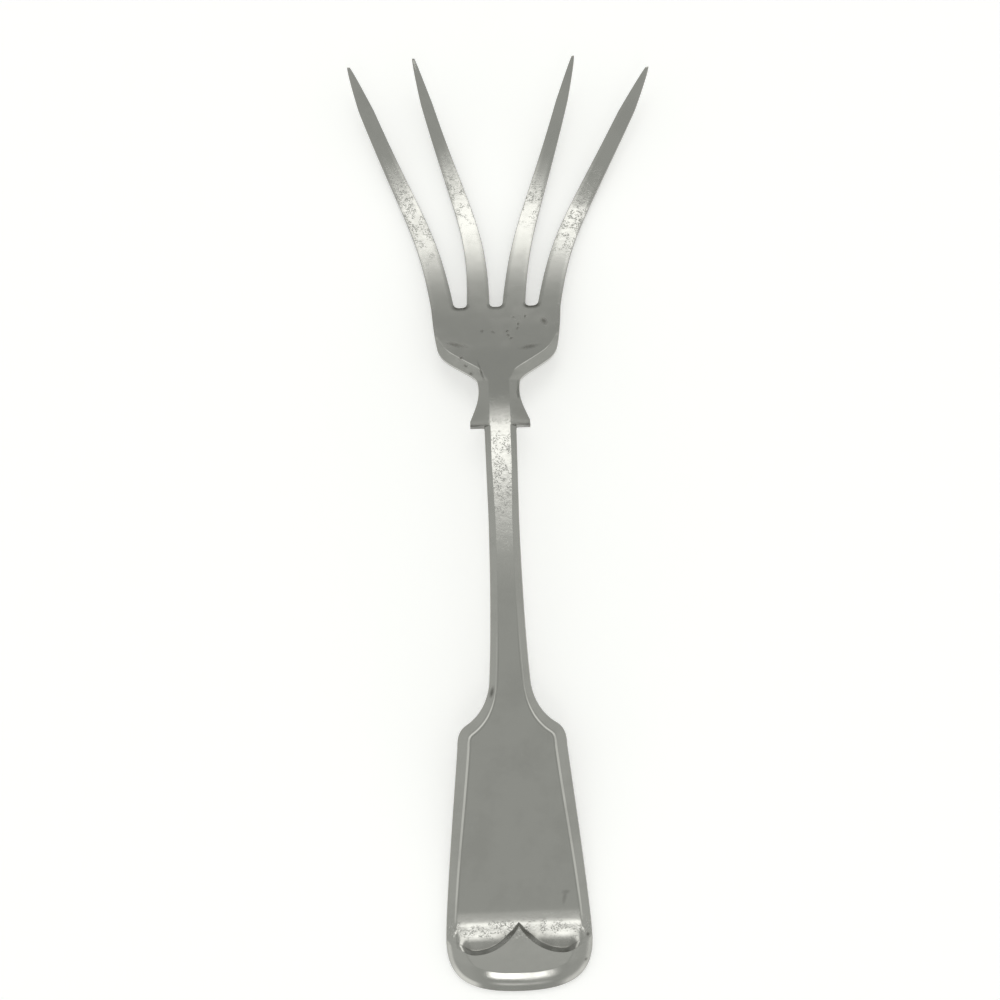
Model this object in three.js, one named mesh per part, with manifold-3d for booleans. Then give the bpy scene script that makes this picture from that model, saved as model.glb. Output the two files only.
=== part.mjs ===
// A silver serving fork: fiddle-shaped handle with a raised tip, bevelled stem, flared neck,
// small palm and four splayed tines. It lies face up, resting on the underside of the handle's
// end and on the bend of the tines. Millimetres, +Y towards the tines, +Z up.
// The origin is the middle of the flat that the handle's end rests on.
import * as THREE from 'three';
import { mergeVertices } from 'three/addons/utils/BufferGeometryUtils.js';
import Module from 'manifold-3d';

const wasm = await Module();
wasm.setup();

// Lengths along the fork, each from the end of the piece before it
const HANDLE_LENGTH = 54.8;
const STEM_LENGTH = 47.9;
const NECK_LENGTH = 9.2;
const PALM_LENGTH = 15.6;
const REST_LENGTH = 14;

// Handle, seen from above
const HANDLE_END_WIDTH = 26.5;
const HANDLE_END_ROUND = 9.5;
const SHOULDER_WIDTH = 20.1;
const SHOULDER_HEIGHT = 11.1;
const SHOULDER_ROUND = 4.2;

// Stem and neck, seen from above
const STEM_ROOT_WIDTH = 7.7;
const STEM_WIDTH = 5.7;
const STEM_TOP_WIDTH = 6;
const LEDGE_WIDTH = 11.2;
const LEDGE_RISE = 1;
const WAIST_WIDTH = 7.7;
const NECK_TOP_WIDTH = 8.1;

// Palm and tines, seen from above
const PALM_SHOULDER_WIDTH = 23;
const PALM_SHOULDER_LENGTH = 7.6;
const PALM_WIDTH = 24.7;
const SLOT_WIDTH = 2.4;
const SLOT_FILLET = 0.8;
const OUTER_SHANK_WIDTH = 2.8;
const INNER_SHANK_WIDTH = 2.2;
const TINE_POINT_LENGTH = 8;
const TINE_POINT_WIDTH = 0.4;

// Every tine is bent a little differently. Its point lies this far out from the fork's middle line
// and reaches this far beyond the palm.
const OUTER_LEFT_OUT = 26.8;
const OUTER_LEFT_REACH = 48.15;
const INNER_LEFT_OUT = 14.2;
const INNER_LEFT_REACH = 49.25;
const INNER_RIGHT_OUT = 16.7;
const INNER_RIGHT_REACH = 48.75;
const OUTER_RIGHT_OUT = 31;
const OUTER_RIGHT_REACH = 46.25;

// Side view: heights of the underside above the table, and where they are reached
const ARCH_HEIGHT = 9;
const ARCH_TO_LEDGE = 10.4;
// Below 1, most of the rise to the arch comes early, under the handle
const ARCH_EARLY = 0.72;
const BEND_FROM_PALM = 20;
const POINT_LIFT = 8;

// Thicknesses
const HANDLE_THICKNESS = 1.9;
const STEM_THICKNESS = 2.9;
const PALM_THICKNESS = 2.1;
const TINE_POINT_THICKNESS = 0.9;
const TINE_THINNING = 1.6;
const TIP_THICKNESS = 3;

// Bevels along the front edges: width across, and how far they drop
const HANDLE_BEVEL = 1.8;
const HANDLE_BEVEL_DROP = 0.45;
const STEM_BEVEL = 1.1;
const STEM_BEVEL_DROP = 0.6;
const PALM_BEVEL = 2;
const PALM_BEVEL_DROP = 0.6;
const PALM_BEVEL_LENGTH = 10;
const TINE_BEVEL = 0.6;
const TINE_BEVEL_DROP = 0.05;
const BACK_CHAMFER = 0.35;

// Raised tip: its edge is a bracket with a lobe each side of a middle cusp
const TIP_RIM_LENGTH = 8.8;
const TIP_LOBE_LENGTH = 6.5;
const TIP_LOBE_SPACING = 16;
const TIP_CUSP_LENGTH = 11.4;
const TIP_SEAT_THICKNESS = 0.95;

// Soldered joints: tangs in sockets, with a film of solder all round
const SOLDER_GAP = 0.15;
const SOCKET_WALL = 0.45;
const TANG_SHOULDER = 0.9;
const TINE_TANG_LENGTH = 4;
const STEM_TANG_LENGTH = 5;
const TANG_ROOT = 1.5;
const DROP_LENGTH = 8.5;
const DROP_WIDTH = 6.6;
const DROP_THICKNESS = 1;
const DROP_END_THICKNESS = 0.6;

// How finely curves are divided
const END_STEPS = 44;
const STEM_STEPS = 26;
const NECK_STEPS = 16;
const PALM_STEPS = 22;
const TINE_STEPS = 26;
const FILLET_STEPS = 4;
const TANG_STEPS = 4;
const DROP_STEPS = 14;
const LOBE_STEPS = 8;

// Places along Y, half the flat between the stem's bevels, and the tines' roots
const END_Y = -REST_LENGTH / 2;
const REST_END_Y = REST_LENGTH / 2;
const STEM_Y = END_Y + HANDLE_LENGTH;
const LEDGE_Y = STEM_Y + STEM_LENGTH;
const PALM_Y = LEDGE_Y + NECK_LENGTH;
const SLOT_Y = PALM_Y + PALM_LENGTH;
const SHOULDER_Y = STEM_Y - SHOULDER_HEIGHT;
const PALM_SHOULDER_Y = PALM_Y + PALM_SHOULDER_LENGTH;
const ARCH_Y = LEDGE_Y - ARCH_TO_LEDGE;
const BEND_Y = SLOT_Y + BEND_FROM_PALM;
const STEM_FLAT = STEM_TOP_WIDTH / 2 - STEM_BEVEL;
const TINE_ROOT_WIDTH = (PALM_WIDTH - 3 * SLOT_WIDTH) / 4;
const INNER_ROOT_X = (SLOT_WIDTH + TINE_ROOT_WIDTH) / 2;
const OUTER_ROOT_X = INNER_ROOT_X + SLOT_WIDTH + TINE_ROOT_WIDTH;

// The tines from left to right, with the side that each bends to and its lean in degrees
const OUTER = { rootX: OUTER_ROOT_X, shankWidth: OUTER_SHANK_WIDTH, outer: true };
const INNER = { rootX: INNER_ROOT_X, shankWidth: INNER_SHANK_WIDTH, outer: false };
const TINES = [
  {
    name: 'tine_outer_left', ...OUTER, side: -1,
    out: OUTER_LEFT_OUT, reach: OUTER_LEFT_REACH, rootLean: 8.5, pointLean: 21, sweep: 1.8,
  },
  {
    name: 'tine_inner_left', ...INNER, side: -1,
    out: INNER_LEFT_OUT, reach: INNER_LEFT_REACH, rootLean: -1.8, pointLean: 15.3, sweep: 2.15,
  },
  {
    name: 'tine_inner_right', ...INNER, side: 1,
    out: INNER_RIGHT_OUT, reach: INNER_RIGHT_REACH, rootLean: 5.7, pointLean: 16.7, sweep: 1.7,
  },
  {
    name: 'tine_outer_right', ...OUTER, side: 1,
    out: OUTER_RIGHT_OUT, reach: OUTER_RIGHT_REACH, rootLean: 10.5, pointLean: 27.8, sweep: 1.3,
  },
];

const POINT_Y = SLOT_Y + Math.max(...TINES.map((tine) => tine.reach));

const SILVER = new THREE.MeshStandardMaterial({ color: 0xb4b3ac, roughness: 0.3, metalness: 1 });

const { lerp, clamp, degToRad } = THREE.MathUtils;

// Runs from 0 to 1 with a level start and finish.
function ease(share) {
  return (1 - Math.cos(Math.PI * clamp(share, 0, 1))) / 2;
}

// Eases between values that hold at places along Y.
function along(y, places) {
  const next = places.findIndex(([place]) => place >= y);
  if (next === 0) return places[0][1];
  if (next < 0) return places[places.length - 1][1];
  const [fromY, fromValue] = places[next - 1];
  const [toY, toValue] = places[next];
  return lerp(fromValue, toValue, ease((y - fromY) / (toY - fromY)));
}

// Height of the underside: level under the handle's end, arched at the stem, down to the bend.
function backAt(y, sweep = 2) {
  if (y > BEND_Y) return POINT_LIFT * ((y - BEND_Y) / (POINT_Y - BEND_Y)) ** sweep;
  if (y > ARCH_Y) return along(y, [[ARCH_Y, ARCH_HEIGHT], [BEND_Y, 0]]);
  const share = clamp((y - REST_END_Y) / (ARCH_Y - REST_END_Y), 0, 1);
  return ARCH_HEIGHT * ease(share ** ARCH_EARLY);
}

function thicknessAt(y) {
  if (y > SLOT_Y) {
    const share = (y - SLOT_Y) / (POINT_Y - SLOT_Y);
    return lerp(PALM_THICKNESS, TINE_POINT_THICKNESS, share ** TINE_THINNING);
  }
  return along(y, [
    [SHOULDER_Y, HANDLE_THICKNESS],
    [ARCH_Y, STEM_THICKNESS],
    [LEDGE_Y, STEM_THICKNESS],
    [PALM_SHOULDER_Y, PALM_THICKNESS],
  ]);
}

function frontAt(y) {
  return backAt(y) + thicknessAt(y);
}

function bevelAt(y) {
  return along(y, [
    [SHOULDER_Y, HANDLE_BEVEL],
    [STEM_Y, STEM_BEVEL],
    [LEDGE_Y, STEM_BEVEL],
    [PALM_Y, NECK_TOP_WIDTH / 2 - STEM_FLAT],
    [PALM_Y + PALM_BEVEL_LENGTH / 2, PALM_BEVEL],
    [PALM_Y + PALM_BEVEL_LENGTH, TINE_BEVEL],
  ]);
}

function bevelDropAt(y) {
  return along(y, [
    [SHOULDER_Y, HANDLE_BEVEL_DROP],
    [STEM_Y, STEM_BEVEL_DROP],
    [PALM_Y, STEM_BEVEL_DROP],
    [PALM_Y + PALM_BEVEL_LENGTH / 2, PALM_BEVEL_DROP],
    [PALM_Y + PALM_BEVEL_LENGTH, TINE_BEVEL_DROP],
  ]);
}

// A closed solid through rows of points. Each row goes up its left side and down its right side,
// and the rows follow each other towards +Y.
function loft(rows) {
  const size = rows[0].length;
  const index = [];
  const quad = (a, b, c, d) => index.push(a, b, c, a, c, d);
  rows.slice(1).forEach((_, row) => {
    const near = row * size;
    const far = near + size;
    for (let i = 0; i < size; i += 1) {
      const j = (i + 1) % size;
      quad(near + i, near + j, far + j, far + i);
    }
  });
  const last = (rows.length - 1) * size;
  for (let i = 0; i < size / 2 - 1; i += 1) {
    const j = size - 1 - i;
    quad(i, j, j - 1, i + 1);
    quad(last + i, last + i + 1, last + j - 1, last + j);
  }
  const geometry = new THREE.BufferGeometry();
  geometry.setAttribute('position', new THREE.Float32BufferAttribute(rows.flat(2), 3));
  geometry.setIndex(index);
  return geometry;
}

function solidOf(geometry) {
  const bare = geometry.clone();
  bare.deleteAttribute('normal');
  bare.deleteAttribute('uv');
  const merged = mergeVertices(bare.index ? bare.toNonIndexed() : bare);
  const vertProperties = new Float32Array(merged.attributes.position.array);
  const triVerts = new Uint32Array(merged.index.array);
  return new wasm.Manifold(new wasm.Mesh({ numProp: 3, vertProperties, triVerts }));
}

function geometryOf(solid) {
  const mesh = solid.getMesh();
  const geometry = new THREE.BufferGeometry();
  geometry.setAttribute('position', new THREE.BufferAttribute(mesh.vertProperties, 3));
  geometry.setIndex(new THREE.BufferAttribute(mesh.triVerts, 1));
  return geometry;
}

function mirrored(rightSide) {
  const left = rightSide.map(([x, y, z]) => [-x, y, z]);
  return [...left, ...rightSide.slice().reverse()];
}

// Points along the right-hand edge of an outline, with the direction that points inwards.
function edgePoints(path, steps) {
  return Array.from({ length: steps + 1 }, (_, step) => {
    const { x, y } = path.getPointAt(step / steps);
    const heading = path.getTangentAt(step / steps);
    return { x, y, inX: -heading.y, inY: heading.x };
  });
}

// A row of a plate with a bevelled front edge and a small chamfer behind.
function plateRow({ x, y, inX, inY }, bevel, drop, front, back) {
  const backX = x + inX * BACK_CHAMFER;
  const backY = y + inY * BACK_CHAMFER;
  const frontX = x + inX * bevel;
  const frontY = y + inY * bevel;
  return mirrored([
    [backX, backY, back(backY)],
    [x, y, back(y) + BACK_CHAMFER],
    [x, y, front(y) - drop],
    [frontX, frontY, front(frontY)],
  ]);
}

function forkRow(point) {
  return plateRow(point, bevelAt(point.y), bevelDropAt(point.y), frontAt, backAt);
}

// The row where a piece ends square across the fork.
function squareEnd(point) {
  return forkRow({ x: point.x, y: point.y, inX: -1, inY: 0 });
}

function platePiece(path, steps) {
  const points = edgePoints(path, steps);
  const last = points.length - 1;
  return points.map((point, i) => (i === 0 || i === last ? squareEnd(point) : forkRow(point)));
}

// A bar through the middle of the thickness: a tang, or its socket with the gap added.
function tang(x, width, fromY, toY, thickness, gap) {
  const rows = Array.from({ length: TANG_STEPS + 1 }, (_, step) => {
    const y = lerp(fromY, toY, step / TANG_STEPS);
    const middle = (frontAt(y) + backAt(y)) / 2;
    const halfWidth = width / 2 + gap;
    const low = middle - thickness / 2 - gap;
    const high = middle + thickness / 2 + gap;
    return [
      [x - halfWidth, y, low],
      [x - halfWidth, y, high],
      [x + halfWidth, y, high],
      [x + halfWidth, y, low],
    ];
  });
  return solidOf(loft(rows));
}

function tangThickness(y) {
  return thicknessAt(y) - 2 * (SOCKET_WALL + SOLDER_GAP);
}

// The stem's tang in the handle.
function handleTang(gap) {
  const width = STEM_ROOT_WIDTH - 2 * (STEM_BEVEL + TANG_SHOULDER);
  const fromY = STEM_Y - STEM_TANG_LENGTH - gap;
  return tang(0, width, fromY, STEM_Y + TANG_ROOT, tangThickness(STEM_Y), gap);
}

// The stem's tang in the neck.
function neckTang(gap) {
  const width = STEM_TOP_WIDTH - 2 * (STEM_BEVEL + TANG_SHOULDER);
  const endY = LEDGE_Y + STEM_TANG_LENGTH;
  return tang(0, width, LEDGE_Y - TANG_ROOT, endY + gap, tangThickness(endY), gap);
}

// A tine's tang in the palm.
function tineTang(tine, gap) {
  const width = TINE_ROOT_WIDTH - 2 * TANG_SHOULDER;
  const fromY = SLOT_Y - TINE_TANG_LENGTH - gap;
  return tang(tine.side * tine.rootX, width, fromY, SLOT_Y + TANG_ROOT, tangThickness(SLOT_Y), gap);
}

// Right-hand edge of the handle, from the middle of its end to the stem.
function handleEdge() {
  const halfEnd = HANDLE_END_WIDTH / 2;
  const halfShoulder = SHOULDER_WIDTH / 2;
  const halfStem = STEM_ROOT_WIDTH / 2;
  const roundY = END_Y + HANDLE_END_ROUND;
  const cornerX = halfShoulder - SHOULDER_ROUND / 2;
  const cornerY = SHOULDER_Y + SHOULDER_ROUND;
  const path = new THREE.Path();
  path.moveTo(0, END_Y);
  path.bezierCurveTo(halfEnd * 0.72, END_Y, halfEnd, lerp(END_Y, roundY, 0.27), halfEnd, roundY);
  path.bezierCurveTo(
    lerp(halfShoulder, halfEnd, 0.97), lerp(roundY, SHOULDER_Y, 0.2),
    lerp(halfShoulder, halfEnd, 0.15), lerp(roundY, SHOULDER_Y, 0.85),
    halfShoulder, SHOULDER_Y,
  );
  path.bezierCurveTo(
    halfShoulder, lerp(SHOULDER_Y, cornerY, 0.65),
    lerp(cornerX, halfShoulder, 0.5), lerp(SHOULDER_Y, cornerY, 0.85),
    cornerX, cornerY,
  );
  path.bezierCurveTo(
    lerp(cornerX, halfStem, 0.45), lerp(cornerY, STEM_Y, 0.18),
    lerp(cornerX, halfStem, 0.88), lerp(cornerY, STEM_Y, 0.5),
    halfStem, STEM_Y,
  );
  return path;
}

function stemEdge() {
  const path = new THREE.Path();
  path.moveTo(STEM_ROOT_WIDTH / 2, STEM_Y);
  path.bezierCurveTo(
    lerp(STEM_WIDTH, STEM_ROOT_WIDTH, 0.4) / 2, lerp(STEM_Y, LEDGE_Y, 0.15),
    STEM_WIDTH / 2, lerp(STEM_Y, LEDGE_Y, 0.4),
    STEM_WIDTH / 2, lerp(STEM_Y, LEDGE_Y, 0.65),
  );
  path.lineTo(STEM_TOP_WIDTH / 2, LEDGE_Y - SOLDER_GAP);
  return path;
}

// The neck flares from its waist to pointed shoulders at the ledge.
function neckEdge() {
  const path = new THREE.Path();
  const topY = PALM_Y - SOLDER_GAP;
  const waistY = lerp(LEDGE_Y, PALM_Y, 0.8);
  path.moveTo(LEDGE_WIDTH / 2, LEDGE_Y);
  path.lineTo(LEDGE_WIDTH / 2, LEDGE_Y + LEDGE_RISE);
  path.bezierCurveTo(
    lerp(WAIST_WIDTH, LEDGE_WIDTH, 0.45) / 2, lerp(LEDGE_Y, waistY, 0.45),
    WAIST_WIDTH / 2, lerp(LEDGE_Y, waistY, 0.7),
    WAIST_WIDTH / 2, waistY,
  );
  path.quadraticCurveTo(WAIST_WIDTH / 2, lerp(waistY, topY, 0.5), NECK_TOP_WIDTH / 2, topY);
  return path;
}

function palmEdge() {
  const path = new THREE.Path();
  const halfNeck = NECK_TOP_WIDTH / 2;
  const halfShoulder = PALM_SHOULDER_WIDTH / 2;
  const slopeX = lerp(halfNeck, halfShoulder, 0.33);
  const slopeY = lerp(PALM_Y, PALM_SHOULDER_Y, 0.28);
  path.moveTo(halfNeck, PALM_Y);
  path.bezierCurveTo(
    lerp(halfNeck, slopeX, 0.12), lerp(PALM_Y, slopeY, 0.3),
    lerp(halfNeck, slopeX, 0.5), lerp(PALM_Y, slopeY, 0.65),
    slopeX, slopeY,
  );
  path.bezierCurveTo(
    lerp(slopeX, halfShoulder, 0.6), lerp(slopeY, PALM_SHOULDER_Y, 0.37),
    lerp(slopeX, halfShoulder, 0.92), lerp(slopeY, PALM_SHOULDER_Y, 0.5),
    halfShoulder, PALM_SHOULDER_Y,
  );
  path.bezierCurveTo(
    lerp(halfShoulder, PALM_WIDTH / 2, 0.45), lerp(PALM_SHOULDER_Y, SLOT_Y, 0.25),
    lerp(halfShoulder, PALM_WIDTH / 2, 0.8), lerp(PALM_SHOULDER_Y, SLOT_Y, 0.6),
    PALM_WIDTH / 2, SLOT_Y,
  );
  return path;
}

// A block over the raised tip's plan, from a height upwards.
function tipBlock(fromZ, gap) {
  const side = HANDLE_END_WIDTH;
  const lobeX = TIP_LOBE_SPACING / 2;
  const rimX = HANDLE_END_WIDTH / 2;
  const rimY = END_Y + TIP_RIM_LENGTH + gap;
  const lobeY = END_Y + TIP_LOBE_LENGTH + gap;
  const cuspY = END_Y + TIP_CUSP_LENGTH + gap;
  const shape = new THREE.Shape();
  const nearRimX = lerp(rimX, lobeX, 0.4);
  const nearRimY = lerp(rimY, lobeY, 0.2);
  const nearLobeX = lerp(rimX, lobeX, 0.6);
  const pastLobeX = lobeX * 0.55;
  const nearCuspX = lobeX * 0.2;
  const nearCuspY = lerp(lobeY, cuspY, 0.45);
  shape.moveTo(-side, END_Y - side);
  shape.lineTo(side, END_Y - side);
  shape.lineTo(side, rimY);
  shape.lineTo(rimX, rimY);
  shape.bezierCurveTo(nearRimX, nearRimY, nearLobeX, lobeY, lobeX, lobeY);
  shape.bezierCurveTo(pastLobeX, lobeY, nearCuspX, nearCuspY, 0, cuspY);
  shape.bezierCurveTo(-nearCuspX, nearCuspY, -pastLobeX, lobeY, -lobeX, lobeY);
  shape.bezierCurveTo(-nearLobeX, lobeY, -nearRimX, nearRimY, -rimX, rimY);
  shape.lineTo(-side, rimY);
  const block = new THREE.ExtrudeGeometry(shape, {
    depth: 2 * TIP_THICKNESS,
    bevelEnabled: false,
    curveSegments: LOBE_STEPS,
  });
  block.translate(0, 0, fromZ);
  return solidOf(block);
}

function handleSolid() {
  const rows = edgePoints(handleEdge(), END_STEPS).slice(1);
  const last = rows.length - 1;
  const plate = loft(rows.map((point, i) => (i === last ? squareEnd(point) : forkRow(point))));
  const seat = tipBlock(TIP_SEAT_THICKNESS, SOLDER_GAP);
  return solidOf(plate).subtract(seat).subtract(handleTang(SOLDER_GAP));
}

// The tip is cut from a thicker blank of the handle's end.
function tipSolid() {
  const endRows = edgePoints(handleEdge(), END_STEPS).slice(1);
  const past = endRows.findIndex(({ x, y }) => y > END_Y + TIP_CUSP_LENGTH && x > TIP_LOBE_SPACING / 2);
  const drop = HANDLE_BEVEL_DROP + TIP_THICKNESS - HANDLE_THICKNESS;
  const front = () => TIP_THICKNESS;
  const rows = endRows.slice(0, past + 1);
  const blank = loft(rows.map((point) => plateRow(point, HANDLE_BEVEL, drop, front, backAt)));
  return solidOf(blank).intersect(tipBlock(TIP_SEAT_THICKNESS + SOLDER_GAP, 0));
}

function stemSolid() {
  const bar = solidOf(loft(platePiece(stemEdge(), STEM_STEPS)));
  return bar.add(handleTang(0)).add(neckTang(0));
}

// The neck thickens behind into the drop, a rounded tongue that laps the back of the palm.
function neckSolid() {
  const heelAt = (y) => backAt(y) - DROP_THICKNESS * ease((y - LEDGE_Y) / NECK_LENGTH);
  const points = edgePoints(neckEdge(), NECK_STEPS);
  const rows = points.map((point) => {
    const square = { x: point.x, y: point.y, inX: -1, inY: 0 };
    return plateRow(square, point.x - STEM_FLAT, STEM_BEVEL_DROP, frontAt, heelAt);
  });
  const dropRows = Array.from({ length: DROP_STEPS }, (_, step) => {
    const share = step / DROP_STEPS;
    const y = lerp(PALM_Y - TANG_ROOT, PALM_Y + DROP_LENGTH, share);
    const halfWidth = (DROP_WIDTH / 2) * Math.sqrt(1 - share ** 3);
    const high = backAt(y) - SOLDER_GAP;
    const low = backAt(y) - lerp(DROP_THICKNESS, DROP_END_THICKNESS, share);
    return mirrored([[halfWidth, y, low], [halfWidth, y, high]]);
  });
  return solidOf(loft(rows)).add(solidOf(loft(dropRows))).subtract(neckTang(SOLDER_GAP));
}

function palmSolid() {
  const plate = solidOf(loft(platePiece(palmEdge(), PALM_STEPS)));
  return TINES.reduce((rest, tine) => rest.subtract(tineTang(tine, SOLDER_GAP)), plate);
}

// Width of a tine at a distance from its root: a long taper, then a point.
function tineWidth({ reach, shankWidth }, distance) {
  const shankLength = reach - TINE_POINT_LENGTH;
  if (distance < shankLength) return lerp(TINE_ROOT_WIDTH, shankWidth, distance / shankLength);
  const left = clamp((reach - distance) / TINE_POINT_LENGTH, 0, 1);
  return lerp(TINE_POINT_WIDTH, shankWidth, left ** 0.7);
}

function tineSolid(tine) {
  const rootY = SLOT_Y + SOLDER_GAP;
  const root = new THREE.Vector2(tine.side * tine.rootX, rootY);
  const point = new THREE.Vector2(tine.side * tine.out, SLOT_Y + tine.reach);
  const length = root.distanceTo(point);
  const towards = (degrees) => {
    const angle = tine.side * degToRad(degrees);
    return new THREE.Vector2(Math.sin(angle), Math.cos(angle));
  };
  const centre = new THREE.CubicBezierCurve(
    root,
    root.clone().addScaledVector(towards(tine.rootLean), length * 0.35),
    point.clone().addScaledVector(towards(tine.pointLean), -length * 0.6),
    point,
  );
  const filletShares = Array.from({ length: FILLET_STEPS }, (_, step) => (
    (SLOT_FILLET / length) * (1 - Math.cos((Math.PI / 2) * (step / FILLET_STEPS)))
  ));
  const firstShare = SLOT_FILLET / length;
  const shankShares = Array.from({ length: TINE_STEPS + 1 }, (_, step) => (
    lerp(firstShare, 1, step / TINE_STEPS)
  ));
  const rows = [...filletShares, ...shankShares].map((share) => {
    const { x, y } = centre.getPointAt(share);
    const heading = centre.getTangentAt(share);
    const halfWidth = tineWidth(tine, y - SLOT_Y) / (2 * heading.y);
    const intoFillet = clamp(1 - (y - rootY) / SLOT_FILLET, 0, 1);
    const foot = SLOT_FILLET * (1 - Math.sqrt(1 - intoFillet ** 2));
    const left = x - halfWidth - (tine.outer && tine.side < 0 ? 0 : foot);
    const right = x + halfWidth + (tine.outer && tine.side > 0 ? 0 : foot);
    const bevel = Math.min(TINE_BEVEL, halfWidth / 2);
    const drop = Math.min(TINE_BEVEL_DROP, thicknessAt(y) / 4);
    const chamfer = Math.min(BACK_CHAMFER, thicknessAt(y) / 4, halfWidth / 2);
    const back = backAt(y, tine.sweep);
    const front = back + thicknessAt(y);
    return [
      [left + chamfer, y, back],
      [left, y, back + chamfer],
      [left, y, front - drop],
      [left + bevel, y, front],
      [right - bevel, y, front],
      [right, y, front - drop],
      [right, y, back + chamfer],
      [right - chamfer, y, back],
    ];
  });
  return solidOf(loft(rows)).add(tineTang(tine, 0));
}

const fork = new THREE.Group();

function addPiece(name, solid) {
  const mesh = new THREE.Mesh(geometryOf(solid), SILVER);
  mesh.name = name;
  fork.add(mesh);
}

addPiece('handle', handleSolid());
addPiece('handle_tip', tipSolid());
addPiece('stem', stemSolid());
addPiece('neck', neckSolid());
addPiece('palm', palmSolid());
TINES.forEach((tine) => addPiece(tine.name, tineSolid(tine)));

export default fork;
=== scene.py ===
import math

import bpy
import numpy as np
from mathutils import Matrix, Vector


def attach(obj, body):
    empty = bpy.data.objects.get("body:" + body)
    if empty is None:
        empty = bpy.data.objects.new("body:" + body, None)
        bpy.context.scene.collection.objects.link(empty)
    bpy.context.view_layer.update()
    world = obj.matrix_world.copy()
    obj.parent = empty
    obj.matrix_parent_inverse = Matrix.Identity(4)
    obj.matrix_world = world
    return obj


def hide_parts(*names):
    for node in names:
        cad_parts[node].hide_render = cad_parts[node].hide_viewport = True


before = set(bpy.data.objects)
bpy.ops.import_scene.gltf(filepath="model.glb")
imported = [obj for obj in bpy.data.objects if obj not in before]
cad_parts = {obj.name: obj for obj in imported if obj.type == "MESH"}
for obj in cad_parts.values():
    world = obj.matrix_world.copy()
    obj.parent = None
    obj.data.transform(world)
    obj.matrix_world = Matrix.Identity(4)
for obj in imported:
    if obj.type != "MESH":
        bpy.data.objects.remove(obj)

bl_info = {
    "name": "Silver Serving Fork",
    "version": (1, 0, 0),
    "blender": (4, 5, 0),
    "location": "3D View > Sidebar > Fork",
    "description": "Builds a four-tined silver serving fork piece by piece, with a studio round it",
    "category": "Add Mesh",
}

MM = 0.001

# Roundings too small for a user to change
EDGE_RADIUS = 0.12 * MM
BACK_RADIUS = 0.35 * MM
CREST_ROUND = 0.06 * MM
# Fall of the step inside the bevel, for each length across it
STEP_SLOPE = 0.72

# The cove below the panel. Its first share rises evenly before it levels out, with a soft start.
COVE_STRAIGHT = 0.48
COVE_SOFT_START = 0.12
# Share of the rise to the tip that brings the panel level with the crest of the bevel
RISE_TO_CREST = 0.47
# Beside the lobes the panel rises further, in this share of the tip's height by the rim
OUTER_RISE = 0.85
LOBE_END = 8.6 * MM
RIM_START = 11.4 * MM
# The roll of the tip: share of it that falls evenly, and how soft its crest is at the panel
ROLL_EVEN = 0.63
ROLL_SOFT = 0.25
# The wall up to the tip is narrow at the cusp and widens below it
CUSP_FADE = 1.6 * MM
CUSP_FILLET = 0.65
WALL_POWER = 1.15
# Tarnish and painted shade at the foot of that wall: its reach in fillet widths, by the cusp and at the
# lobes' ends, and where it fades towards the rim
CUSP_SHADE_REACH = 5.3
OUTER_SHADE_REACH = 3.2
SHADE_FADE_START = 9.8 * MM
SHADE_FADE_END = 11.6 * MM
# Its strength in the left and the right lobe, with the turn from one to the other, and in the crease
LEFT_SHADE = 0.5
RIGHT_SHADE = 0.68
SHADE_TURN = 10 * MM
SHADE_POWER = 0.6
CREASE_SHADE = 0.7
CREASE_WIDTH = 0.28 * MM

# Dark marks on the front, most of them marks of use, with painted shade where noted: across, along,
# half length and half width in millimetres, turn in degrees and strength
MARKS_AND_SHADE_DASHES = (
    (9.03, 117.04, 0.85, 0.55, -60, 0.85),
    (3.28, 118.13, 0.3, 0.24, 0, 1),
    (4.08, 116.61, 0.36, 0.2, 80, 1),
    (3.95, 115.76, 0.32, 0.2, 60, 1),
    (1.94, 115.21, 0.4, 0.22, 30, 1),
    (2.1, 114.35, 0.36, 0.22, -40, 1),
    (2.64, 113.69, 0.34, 0.18, 20, 1),
    (-2.8, 115.4, 0.34, 0.24, 50, 1),
    (-0.72, 115.1, 0.5, 0.17, -25, 1),
    (5.47, 118.26, 0.34, 0.2, 70, 1),
    # Painted shade: two dashes where the dished palm meets its bevelled corners
    (-7.6, 112.6, 2.0, 0.42, -14, 0.8),
    (6, 111.75, 1.65, 0.4, 10, 0.85),
    (-6.92, 109.85, 0.4, 0.28, 20, 1),
    (-6.12, 108.11, 0.45, 0.28, -30, 1),
    (-5.13, 106.59, 0.4, 0.28, 0, 1),
    # Two long thin dark lines beside the bevels of neck and palm
    (-3.3, 107, 1.9, 0.17, -74, 1),
    (3.6, 102.6, 2, 0.15, 88, 1),
    (-3.35, 46.43, 0.9, 0.35, 75, 1),
    (12.42, 2.63, 0.4, 0.3, 60, 1),
    (11.86, -1.78, 0.4, 0.22, 40, 1),
    (8.45, 9.3, 1.1, 0.34, 75, 0.45),
    (8.7, 10.3, 0.7, 0.34, 5, 0.45),
)
MARK_DEPTH = 0.003 * MM
MARK_DARKNESS = 0.92
# Pitting of a surface that is hardly worn
LIGHT_PITTING = 0.03
# Pitted stretch of each tine, from left to right: its middle and half length in millimetres
TINE_WEAR = ((140.5, 6.6), (145.3, 5.3), (142.6, 3.4), (139, 6))

# Panels of light: tilt from overhead towards the tines in degrees, where they start, are full, stop being
# full and end, and half their width in degrees, full and at its soft edge
OVERHEAD_TILT = (-3, 23, 26, 45)
OVERHEAD_WIDTH = (9, 16)
FRONT_TILT = (-43.5, -42, -36, -34.5)
FRONT_WIDTH = (7, 9.5)
LOW_FRONT_TILT = (-62, -60, -56, -54)
LOW_FRONT_WIDTH = (6, 10)
LOW_FRONT_SHARE = 0.16
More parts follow.
